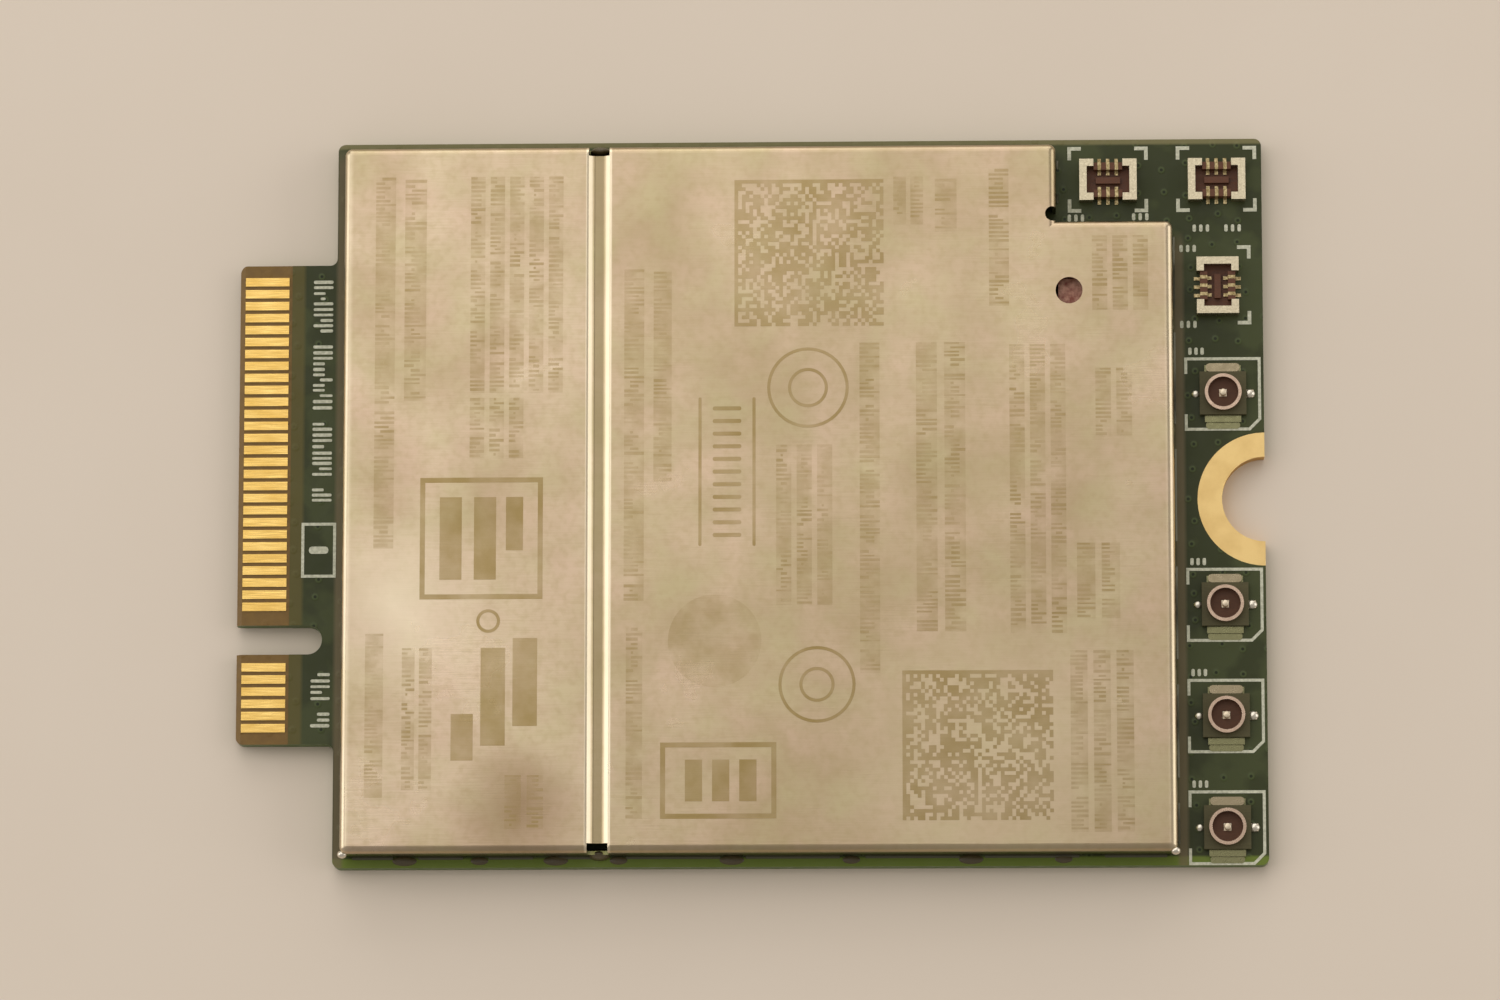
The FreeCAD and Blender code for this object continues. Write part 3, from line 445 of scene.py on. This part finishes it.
# Flash gold: a thin pinkish plating on the ring, and dull olive on the legs that the solder has wetted.
# The stamping's grain is drawn coarser than it is so that it shows.
ring_finish, tree, place = new_finish("flash_gold_on_phosphor_bronze")
handled = add(tree, "TexNoise", {"Vector": place, "Scale": 1 / (HANDLED_PATCH * MM), "Detail": 3.0})["Fac"]
gold = add(tree, "Mix", {"data_type": "RGBA", FACTOR: handled, FIRST: "#C4AB97", SECOND: "#AC927D"})[MIXED]
height = add(tree, "SeparateXYZ", {0: place})["Z"]
settings = {"Value": height, "From Min": DULL_BELOW * MM, "From Max": BRIGHT_ABOVE * MM}
raised = add(tree, "MapRange", settings)[0]
colour = add(tree, "Mix", {"data_type": "RGBA", FACTOR: raised, FIRST: "#7E7B5A", SECOND: gold})[MIXED]
settings = {"Value": handled, "From Min": 0.3, "From Max": 0.7, "To Min": 0.22, "To Max": 0.4}
rubbed = add(tree, "MapRange", settings)[0]
stamped = add(tree, "TexNoise", {"Vector": place, "Scale": 1 / (STAMPED_GRAIN * MM), "Detail": 3.0})["Fac"]
bump = add(tree, "Bump", {"Height": stamped, "Distance": STAMPED_DEPTH * MM})[0]
settings = {"Base Color": colour, "Metallic": 1.0, "Roughness": rubbed, "Normal": bump}
add(tree, "OutputMaterial", {"Surface": add(tree, "BsdfPrincipled", settings)[0]})
dress(ring_finish, *[name + "ground_shell" for name in ANTENNA_NODES])

# Polymer: dark brown and matt, with its glass fibres drawn coarser than they are so that they show.
# The floor inside each ring is redder, where no flux has reached.
base_finish, tree, place = new_finish("glass_filled_liquid_crystal_polymer")
drawn_out = add(tree, "Mapping", {"Vector": place, "Scale": (1 / FIBRE_STRETCH, 1, 1)})[0]
fibre = add(tree, "TexNoise", {"Vector": drawn_out, "Scale": 1 / (FIBRE * MM), "Detail": 4.0})["Fac"]
colour = add(tree, "Mix", {"data_type": "RGBA", FACTOR: fibre, FIRST: "#454029", SECOND: "#585238"})[MIXED]
inside = add(tree, "Mix", {"data_type": "RGBA", FACTOR: fibre, FIRST: "#4A3020", SECOND: "#5E4030"})[MIXED]
for middle in ANTENNAS:
    settings = {"operation": "DISTANCE", 0: place, 1: [c * MM for c in middle]}
    away = add(tree, "VectorMath", settings)["Value"]
    settings = {"Value": away, "From Min": INSIDE_START * MM, "From Max": INSIDE_FULL * MM}
    within = add(tree, "MapRange", settings)[0]
    colour = add(tree, "Mix", {"data_type": "RGBA", FACTOR: within, FIRST: colour, SECOND: inside})[MIXED]
settings = {"Value": fibre, "From Min": 0.3, "From Max": 0.7, "To Min": 0.42, "To Max": 0.6}
matt = add(tree, "MapRange", settings)[0]
bump = add(tree, "Bump", {"Height": fibre, "Distance": FIBRE_DEPTH * MM})[0]
settings = {"Base Color": colour, "Roughness": matt, "Normal": bump, "Specular IOR Level": 0.18}
add(tree, "OutputMaterial", {"Surface": add(tree, "BsdfPrincipled", settings)[0]})
dress(base_finish, *[name + "insulator" for name in ANTENNA_NODES])

# Pins: thin gold over nickel, pale and satin
pin_finish = grained("pale_gold_on_nickel", {"Metallic": 1.0, "Roughness": 0.48}, size=0.1,
                     colours=("#E2D4BE", "#D2C0A4"))
dress(pin_finish, *[name + "signal_pin" for name in ANTENNA_NODES])

# Reflowed solder, bright because no plug or finger reaches it: a dome on the tail and one opposite
# it, as (offset along X, radii).
BOARD_TOP = 0.8
DOMES = [(1.08, (0.25, 0.2, 0.18)), (-1.1, (0.19, 0.15, 0.1))]


def bead(mesh, middle, radii, around=20, rows=12):
    """Adds a rounded bead to a bmesh by its middle and its three radii, in millimetres."""
    spread = Matrix.Translation(Vector(middle) * MM) @ Matrix.Diagonal([r * MM for r in radii] + [1])
    bmesh.ops.create_uvsphere(mesh, u_segments=around, v_segments=rows, radius=1, matrix=spread)


bright_finish = grained("bright_tin_solder", {"Metallic": 1.0}, size=0.06, colours=("#E2DACB", "#CFC5B4"),
                        roughness=(0.25, 0.4))
domes = bmesh.new()
for x, y, _ in ANTENNAS:
    for offset, radii in DOMES:
        bead(domes, (x + offset, y, BOARD_TOP), radii)
new_piece("receptacle_solder", domes, bright_finish, smooth=True)

# Plating on the copper that shows past the near bar and on the far bar, each as (length, width, offset
# along Y, top), and the rounded end that the pin's die leaves
PLATED_BARS = [(1.4, 0.3, -1.3, 0.83), (1.38, 0.34, 1.06, 1.06)]
PLATED_BASE = 0.79
PIN_END = (0.14, 0.14, 0.05)
PIN_TOP = 1.29
pads = bmesh.new()
ends = bmesh.new()
for x, y, _ in ANTENNAS:
    for length, width, offset, top in PLATED_BARS:
        reach = (length - width) / 2
        stroke(pads, (x - reach, y + offset), (x + reach, y + offset), width, PLATED_BASE, top)
    bead(ends, (x, y, PIN_TOP), PIN_END, rows=10)
new_piece("receptacle_pads", pads, ring_finish)
new_piece("pin_ends", ends, pin_finish, smooth=True)

# Millimetre-wave sockets: a polymer tub with gold contacts folded over its long walls, and a
# drawn metal cap over each end that takes the pull of the plug.
SOCKET_NODES = [f"mmwave_{number}_" for number in range(1, 4)]

# Caps: bright warm tin, with upright lines from the die, drawn coarser than they are so that they show
cap_finish = grained("tin_on_copper_alloy", {"Metallic": 1.0}, size=0.09, colours=("#CDC0A4", "#B3A78C"),
                     roughness=(0.24, 0.42), stretch=(1, 1, 5), detail=4.0, depth=0.004)
dress(cap_finish, *[name + "end_clips" for name in SOCKET_NODES])

# Tubs: the receptacles' polymer in a redder brown
tub_finish = grained("red_brown_liquid_crystal_polymer", {"Specular IOR Level": 0.3}, size=FIBRE,
                     colours=("#4A2A19", "#684029"), roughness=(0.42, 0.6), stretch=(FIBRE_STRETCH, 1, 1),
                     detail=4.0, depth=FIBRE_DEPTH)
dress(tub_finish, *[name + "housing" for name in SOCKET_NODES])

# Contacts: formed after plating, so the gold is dull and brown where the tool drew it
contact_finish = grained("formed_gold_on_bronze", {"Metallic": 1.0}, size=0.09,
                         colours=("#B4A27A", "#86744E"), roughness=(0.28, 0.44), contrast=(0.35, 0.65),
                         polish=(0, 1))
dress(contact_finish, *[name + "contacts" for name in SOCKET_NODES])

# Shield can: nickel-silver sheet, blanked, pressed with one groove and folded. Rolling leaves a
# fine grain along the card, the folds leave the roof a little wavy, and handling leaves faint
# cloudy marks, with one darker patch beside the groove. Over these the colour carries painted
# reflections and painted shade on the roof and walls, and painted highlights on the groove's sides and end
# bends.
ROOF = 2.3
CLOUD = 4.0
HUE_PATCH = 2.2
MOTTLE = 0.32
WAVE_LENGTH = 7.0
WAVE_DEPTH = 0.03
# Rolling lines, drawn about ten times as coarse as they are so that they show
ROLL_LINE = 0.05
ROLL_STRETCH = 30
ROLL_DEPTH = 0.002
# Past the groove the roof turns darker as painted shade; the groove's floor is painted dark as shade and its
# sloping sides carry a painted highlight
SHADE_PAST_GROOVE_START, SHADE_PAST_GROOVE_FULL = -6.8, -5.2
GROOVE_X = -6.15
GROOVE_SHADE_START, GROOVE_SHADE_FULL = 0.24, 0.18
SLOPE_START, SLOPE_FULL, SLOPE_END, SLOPE_GONE = 0.24, 0.3, 0.5, 0.55
# Larger patches as (x, y, reach, share, colour): the first three are painted reflections, lighter and
# darker where the sheet mirrors the room, and the last darkens round the faint heat-tinted disc beside the
# groove
REFLECTIONS_AND_TINT = [(-9.4, -12.9, 3.0, 0.8, "#8E7459"), (-14.4, -4.4, 4.0, 0.7, "#DCCBB2"),
           (10.5, -11.0, 7.5, 0.5, "#CDBA9B"), (-1.4, -5.95, 2.6, 0.35, "#93805C")]
# The bends at the two ends carry a painted highlight, from and to a distance off the can's middle
CAN_MIDDLE = 0.35
END_HIGHLIGHT_START, END_HIGHLIGHT_FULL = 16.55, 16.8
# The walls carry a painted reflection of the green board and painted shade, turning to dark olive from the
# roof down to this height
BOARD_REFLECTION_FOOT = 1.6


def nickel_silver(name, burn_patch, least, most):
    """The can's sheet, annealed by a share from least to most that changes over patches, in millimetres."""
    made, tree, place = new_finish(name)
    spot = add(tree, "SeparateXYZ", {0: place})
    drawn_out = add(tree, "Mapping", {"Vector": place, "Scale": (1 / ROLL_STRETCH, 1, 1)})[0]
    settings = {"Vector": drawn_out, "Scale": 1 / (ROLL_LINE * MM), "Detail": 4.0}
    rolled = add(tree, "TexNoise", settings)["Fac"]
    cloud = add(tree, "TexNoise", {"Vector": place, "Scale": 1 / (CLOUD * MM), "Detail": 5.0})["Fac"]
    cloud = add(tree, "MapRange", {"Value": cloud, "From Min": 0.3, "From Max": 0.7})[0]
    hue = add(tree, "TexNoise", {"Vector": place, "Scale": 1 / (HUE_PATCH * MM), "Detail": 5.0})["Fac"]
    mottle = add(tree, "TexNoise", {"Vector": place, "Scale": 1 / (MOTTLE * MM), "Detail": 2.0})["Fac"]
    off_groove = add(tree, "Math", {"operation": "SUBTRACT", 0: spot["X"], 1: GROOVE_X * MM})[0]
    off_groove = add(tree, "Math", {"operation": "ABSOLUTE", 0: off_groove})[0]
    settings = {"Value": off_groove, "From Min": SLOPE_START * MM, "From Max": SLOPE_FULL * MM}
    slope_highlight = add(tree, "MapRange", settings)[0]
    settings = {"Value": off_groove, "From Min": SLOPE_GONE * MM, "From Max": SLOPE_END * MM}
    within = add(tree, "MapRange", settings)[0]
    slope_highlight = add(tree, "Math", {"operation": "MULTIPLY", 0: slope_highlight, 1: within})[0]
    off_middle = add(tree, "Math", {"operation": "SUBTRACT", 0: spot["X"], 1: CAN_MIDDLE * MM})[0]
    off_middle = add(tree, "Math", {"operation": "ABSOLUTE", 0: off_middle})[0]

    # Each shade as (what it follows, where it starts, where it is full, share, colour)
    shades = [
        (rolled, 0.4, 0.8, 0.3, "#A38D69"),
        # painted shade: the roof darker past the groove
        (spot["X"], SHADE_PAST_GROOVE_START * MM, SHADE_PAST_GROOVE_FULL * MM, 0.38, "#A89473"),
        (hue, 0.5, 0.7, 0.4, "#B3AA80"),
        (hue, 0.5, 0.3, 0.4, "#C6A995"),
        (mottle, 0.45, 0.75, 0.35, "#A3906A"),
        # painted shade in the groove's floor, then a painted highlight on its sloping sides
        (off_groove, GROOVE_SHADE_START * MM, GROOVE_SHADE_FULL * MM, 0.6, "#8F7B5E"),
        (slope_highlight, 0.0, 1.0, 0.6, "#F0E2C6"),
    ]
    # painted reflections as lighter and darker patches, and a darker one round the heat tint
    for x, y, reach, share, shade in REFLECTIONS_AND_TINT:
        settings = {"operation": "DISTANCE", 0: place, 1: (x * MM, y * MM, ROOF * MM)}
        shades.append((add(tree, "VectorMath", settings)["Value"], reach * MM, 0.0, share, shade))
    shades += [
        # painted highlight on the bends at the two ends
        (off_middle, END_HIGHLIGHT_START * MM, END_HIGHLIGHT_FULL * MM, 0.36, "#F0E2C6"),
        # painted reflection of the green board and painted shade on the walls
        (spot["Z"], ROOF * MM, BOARD_REFLECTION_FOOT * MM, 0.88, "#727443"),
    ]
    blend = {"data_type": "RGBA", FACTOR: cloud, FIRST: "#C4B096", SECOND: "#B29D7E"}
    colour = add(tree, "Mix", blend)[MIXED]
    for source, start, full, share, shade in shades:
        settings = {"Value": source, "From Min": start, "From Max": full, "To Max": share}
        weight = add(tree, "MapRange", settings)[0]
        blend = {"data_type": "RGBA", FACTOR: weight, FIRST: colour, SECOND: shade}
        colour = add(tree, "Mix", blend)[MIXED]

    burnt = add(tree, "TexNoise", {"Vector": place, "Scale": 1 / (burn_patch * MM), "Detail": 5.0})["Fac"]
    settings = {"Value": burnt, "From Min": 0.32, "From Max": 0.68, "To Min": least, "To Max": most}
    burnt = add(tree, "MapRange", settings)[0]
    colour = add(tree, "Mix", {"data_type": "RGBA", FACTOR: burnt, FIRST: colour, SECOND: "#8F7A4E"})[MIXED]
    satin = add(tree, "MapRange", {"Value": cloud, "To Min": 0.26, "To Max": 0.36})[0]
    waves = add(tree, "TexNoise", {"Vector": place, "Scale": 1 / (WAVE_LENGTH * MM), "Detail": 1.0})["Fac"]
    wavy = add(tree, "Bump", {"Height": waves, "Distance": WAVE_DEPTH * MM})[0]
    bump = add(tree, "Bump", {"Height": rolled, "Distance": ROLL_DEPTH * MM, "Normal": wavy})[0]
    settings = {"Base Color": colour, "Metallic": 1.0, "Roughness": satin, "Normal": bump}
    add(tree, "OutputMaterial", {"Surface": add(tree, "BsdfPrincipled", settings)[0]})
    return made


dress(nickel_silver("rolled_nickel_silver", burn_patch=1.0, least=0.0, most=0.0), "shield_can")

# Solder: reflowed tin alloy that wicks up the can's feet and freezes with a grainy skin. Its dark
# colour is a film of old flux together with painted shade, standing in for the shade the fillets lie in.
solder_finish = grained("flux_and_shade_darkened_solder", {"Metallic": 1.0}, size=0.07, colours=("#4C4A3C", "#656255"),
                        roughness=(0.35, 0.55), detail=4.0, depth=0.01)
dress(solder_finish, "shield_solder")

# Dark glassy beads: one stands in each open end of the groove as painted shade that darkens the
# opening, and runs of them lie on the board in front of the vents along the near wall.
GROOVE_END_SHADE_BEADS = [((-6.12, -14.5, BOARD_TOP), (0.44, 0.24, 0.66)), ((-6.12, 14.45, 1.5), (0.43, 0.19, 0.5))]
VENT_RUN_PLACES = [-14.05, -11.0, -7.9, -5.35, -0.75, 4.1, 8.95, 12.7]
VENT_RUN_Y = -14.72
VENT_RUN_RADII = [(0.5, 0.2, 0.06), (0.36, 0.17, 0.05)]
dark_bead_finish = grained("dark_glassy_beads_and_painted_shade", {"IOR": 1.53}, size=0.1, colours=("#3E341C", "#54472A"),
                       roughness=(0.3, 0.55), detail=4.0, depth=0.01)
dark_beads = bmesh.new()
runs = [((x, VENT_RUN_Y, BOARD_TOP), VENT_RUN_RADII[k % 2]) for k, x in enumerate(VENT_RUN_PLACES)]
for middle, radii in GROOVE_END_SHADE_BEADS + runs:
    bead(dark_beads, middle, radii, around=24)
new_piece("groove_end_shade_and_vent_beads", dark_beads, dark_bead_finish, smooth=True)

# Bright beads at each near corner of the can are a painted highlight, standing in for the light caught by its
# rounded corners
CORNER_DROPS = [(-16.5, -14.55, 1.85), (17.2, -14.53, 2.02)]
CORNER_RADII = (0.2, 0.17, 0.2)
drops = bmesh.new()
for middle in CORNER_DROPS:
    bead(drops, middle, CORNER_RADII)
new_piece("corner_highlight_drops", drops, bright_finish, smooth=True)

# Laser marking: lines of fine print, frames and code fields that a laser has annealed into the
# can's roof. They are plain ticks, cells, bars and rings, a little darker and yellower than the
# sheet, and so shallow that they fade where the beam was weak.
MARK_BASE, HAZE_TOP, MARK_TOP = ROOF - 0.006, ROOF + 0.003, ROOF + 0.006
MARK_LINE = 0.13
# Fields of fine print as (x0, x1, y0, y1, lines): the lines run across the card
FINE_PRINT = [
    (-15.3, -14.2, -2.1, 13.3, 1),
    (-14.1, -12.9, 4.0, 13.2, 1),
    (-11.4, -7.4, 4.3, 13.3, 5),
    (-11.4, -9.0, 1.6, 4.1, 3),
    (-15.6, -14.6, -12.3, -5.6, 1),
    (-14.1, -12.7, -12.0, -6.2, 2),
    (-9.9, -8.1, -13.6, -11.4, 2),
    (-5.1, -4.0, -4.3, 9.4, 1),
    (-3.9, -2.9, 0.6, 9.3, 1),
    (-5.0, -4.1, -13.2, -5.4, 1),
    (1.1, 3.6, -4.5, 2.1, 3),
    (4.5, 5.6, -7.3, 6.3, 1),
    (6.8, 9.1, -5.6, 6.3, 2),
    (10.6, 13.1, -5.7, 6.2, 3),
    (5.9, 7.3, 11.2, 13.2, 2),
    (9.8, 10.9, 7.8, 13.5, 1),
    (7.6, 8.8, 10.9, 13.1, 1),
    (14.0, 16.5, 7.6, 10.7, 3),
    (14.1, 15.8, 2.4, 5.2, 2),
    (13.3, 15.3, -5.1, -2.0, 2),
    (13.0, 15.8, -13.8, -6.4, 3),
]
# A line's share of its pitch, the ranges of its ticks, and where a tick's foot and head may be on it
LINE_FILL = 0.74
TICK = (0.07, 0.13)
TICK_GAP = (0.06, 0.1)
WORD = (5, 13)
WORD_GAP = 0.24
TICK_FOOT = (0, 0, 0, 0.3)
TICK_HEAD = (0.72, 0.72, 1.0, 1.0, 0.45)
MARK_SEED = 11
# Square fields of random cells by their low corners, with one column and one row filled
CODE_FIELDS = [(-0.6, 7.0), (6.2, -13.3)]
CODE_SIDE = 6.1
CODE_CELLS = 40
CODE_SHARE = 0.58
# Rings as (x, y, radius)
RINGS = [(2.4, 4.45, 1.6), (2.4, 4.45, 0.75), (2.75, -7.75, 1.5), (2.75, -7.75, 0.65), (-10.6, -5.1, 0.42)]
RING_STEPS = 48
# Plain frames and thick bars as (x0, x1, y0, y1)
FRAMES = [(-13.3, -8.5, -4.1, 0.7), (-3.5, 1.0, -13.1, -10.2)]
FRAME_LINE = 0.208
BARS = [
    (-12.6, -11.7, -3.4, 0.0), (-11.2, -10.3, -3.4, 0.0), (-9.9, -9.2, -2.2, 0.0),
    (-12.1, -11.2, -10.8, -8.9), (-10.9, -9.9, -10.2, -6.2), (-9.6, -8.6, -9.4, -5.8),
    (-2.6, -1.9, -12.5, -10.8), (-1.5, -0.8, -12.5, -10.8), (-0.4, 0.3, -12.5, -10.8),
]
# A row of ticks between two long lines
ROW_FRAME = (-2.0, 0.2, -2.0, 4.0)
ROW_TICKS = 11
ROW_END = 0.75
ROW_INSET = 0.6
ROW_LINE = 0.169
# A disc of faint heat tint as (x, y, radius)
FAINT_DISC = (-1.4, -5.95, 1.9)

# Annealed skin: the sheet, yellower and duller where the beam struck and faintly so around it
mark_finish = nickel_silver("laser_annealed_nickel_silver", burn_patch=1.3, least=0.2, most=0.75)
haze_finish = nickel_silver("heat_tinted_nickel_silver", burn_patch=1.0, least=0.0, most=0.42)
deep_finish = nickel_silver("deeply_annealed_nickel_silver", burn_patch=1.6, least=0.5, most=0.95)
code_finish = nickel_silver("evenly_annealed_nickel_silver", burn_patch=1.6, least=0.4, most=0.85)


def block(mesh, x0, x1, y0, y1, low, high):
    """Adds a closed block to a bmesh, in millimetres."""
    middle = Matrix.Translation(((x0 + x1) / 2 * MM, (y0 + y1) / 2 * MM, (low + high) / 2 * MM))
    size = Matrix.Diagonal(((x1 - x0) * MM, (y1 - y0) * MM, (high - low) * MM, 1))
    bmesh.ops.create_cube(mesh, size=1, matrix=middle @ size)


def ring(mesh, x, y, radius, width, low, high):
    """Adds a flat ring by turning its section round an upright axis, in millimetres."""
    inner, outer = x + radius - width / 2, x + radius + width / 2
    section = [(inner, low), (outer, low), (outer, high), (inner, high)]
    corners = [mesh.verts.new((a * MM, y * MM, z * MM)) for a, z in section]
    edges = [mesh.edges.new((corners[k], corners[(k + 1) % 4])) for k in range(4)]
    bmesh.ops.spin(mesh, geom=corners + edges, cent=(x * MM, y * MM, 0), axis=(0, 0, 1), angle=math.tau,
                   steps=RING_STEPS, use_merge=True)


draw = random.Random(MARK_SEED)
fine_print = bmesh.new()
haze = bmesh.new()
for x0, x1, y0, y1, lines in FINE_PRINT:
    pitch = (x1 - x0) / lines
    height = pitch * LINE_FILL
    for line in range(lines):
        x = x0 + pitch * line
        for y, width in words(draw, y0, y1, WORD, TICK, TICK_GAP, WORD_GAP):
            foot = x + height * draw.choice(TICK_FOOT)
            head = x + height * draw.choice(TICK_HEAD)
            block(fine_print, foot, head, y - width, y, MARK_BASE, MARK_TOP)
        block(haze, x, x + height, y0, y1, MARK_BASE, HAZE_TOP)
new_piece("laser_fine_print", fine_print, mark_finish)
x, y, radius = FAINT_DISC
middle = Matrix.Translation((x * MM, y * MM, (MARK_BASE + HAZE_TOP) / 2 * MM))
bmesh.ops.create_cone(haze, cap_ends=True, segments=RING_STEPS, radius1=radius * MM, radius2=radius * MM,
                      depth=(HAZE_TOP - MARK_BASE) * MM, matrix=middle)
new_piece("laser_heat_tint", haze, haze_finish)

codes = bmesh.new()
cell = CODE_SIDE / CODE_CELLS
for x0, y0 in CODE_FIELDS:
    for row in range(CODE_CELLS):
        for column in range(CODE_CELLS):
            filled = column == 0 or row == CODE_CELLS - 1
            if filled or draw.random() < CODE_SHARE:
                x, y = x0 + cell * column, y0 + cell * row
                block(codes, x, x + cell, y, y + cell, MARK_BASE, MARK_TOP)
new_piece("laser_code_fields", codes, code_finish)

marks = bmesh.new()
for x, y, radius in RINGS:
    ring(marks, x, y, radius, MARK_LINE, MARK_BASE, MARK_TOP)
for sides in FRAMES:
    band(marks, box_outline(*sides), FRAME_LINE, MARK_BASE, MARK_TOP)
for sides in BARS:
    block(marks, *sides, MARK_BASE, MARK_TOP)
x0, x1, y0, y1 = ROW_FRAME
for x in (x0, x1):
    stroke(marks, (x, y0), (x, y1), MARK_LINE, MARK_BASE, MARK_TOP)
pitch = (y1 - y0) / (ROW_TICKS - 1 + 2 * ROW_END)
for k in range(ROW_TICKS):
    y = y0 + pitch * (k + ROW_END)
    stroke(marks, (x0 + ROW_INSET, y), (x1 - ROW_INSET, y), ROW_LINE, MARK_BASE, MARK_TOP)
new_piece("laser_frames_and_rings", marks, deep_finish)

# Stage: a pale warm paper sweep, a broad overhead light leaning to the far side, and a softer
# light on each side that draws the bright lines on the can's bends. Places and sizes are in
# metres here, apart from the floor's drop below the card, which is in millimetres.
FLOOR_SIDE = 6.0
FLOOR_DROP = 0.01
CARD_CENTRE = (0, 0, 0.0012)
ROOM_BRIGHTNESS = 0.43
floor_mesh = bmesh.new()
bmesh.ops.create_grid(floor_mesh, x_segments=1, y_segments=1, size=FLOOR_SIDE / 2,
                      matrix=Matrix.Translation((0, 0, -FLOOR_DROP * MM)))
floor_data = bpy.data.meshes.new("floor")
floor_mesh.to_mesh(floor_data)
floor_mesh.free()
floor = bpy.data.objects.new("floor", floor_data)
bpy.context.scene.collection.objects.link(floor)
# Paper: matt and warm, with faint soft clouds
paper_finish = grained("pale_paper", {"Roughness": 0.85}, size=12.0, colours=("#D2C3B2", "#D6C8B8"),
                       detail=5.0)
floor_data.materials.append(paper_finish)


def soft_light(name, place, width, height, brightness):
    """A rectangular light in metres, aimed at the card. At a brightness of 1 its surface would look white."""
    data = bpy.data.lights.new(name, "AREA")
    data.shape = "RECTANGLE"
    data.size, data.size_y = width, height
    data.energy = brightness * math.pi * width * height
    lamp = bpy.data.objects.new(name, data)
    lamp.location = place
    lamp.rotation_euler = (Vector(CARD_CENTRE) - Vector(place)).to_track_quat("-Z", "Y").to_euler()
    lamp.visible_camera = False
    bpy.context.scene.collection.objects.link(lamp)


soft_light("overhead_light", (-0.14, 0.27, 0.5), width=0.62, height=0.58, brightness=1.2)
soft_light("left_light", (-0.5, 0.05, 0.21), width=0.45, height=0.4, brightness=1.6)
soft_light("right_light", (0.5, 0.05, 0.21), width=0.45, height=0.4, brightness=1.5)
soft_light("far_light", (0.0, 0.55, 0.2), width=0.7, height=0.34, brightness=1.5)

world = bpy.data.worlds.new("soft_room")
world.use_nodes = True
world.node_tree.nodes["Background"].inputs["Color"].default_value = linear("#FFFAF2")
world.node_tree.nodes["Background"].inputs["Strength"].default_value = ROOM_BRIGHTNESS
bpy.context.scene.world = world
bpy.context.scene.view_settings.view_transform = "Standard"

# Camera: almost overhead, leaning a little to the near side, as in the photograph, and square to
# the card's long edges.
CAMERA_PLACE = (0.0093, -0.046, 0.2865)
LENS = 170
SENSOR = 36
camera_data = bpy.data.cameras.new("camera")
camera_data.lens = LENS
camera_data.sensor_width = SENSOR
camera = bpy.data.objects.new("camera", camera_data)
forward = (Vector(CARD_CENTRE) - Vector(CAMERA_PLACE)).normalized()
right = forward.cross((0, 1, 0)).normalized()
up = right.cross(forward)
camera.matrix_world = Matrix.Translation(CAMERA_PLACE) @ Matrix((right, up, -forward)).transposed().to_4x4()
bpy.context.scene.collection.objects.link(camera)
bpy.context.scene.camera = camera
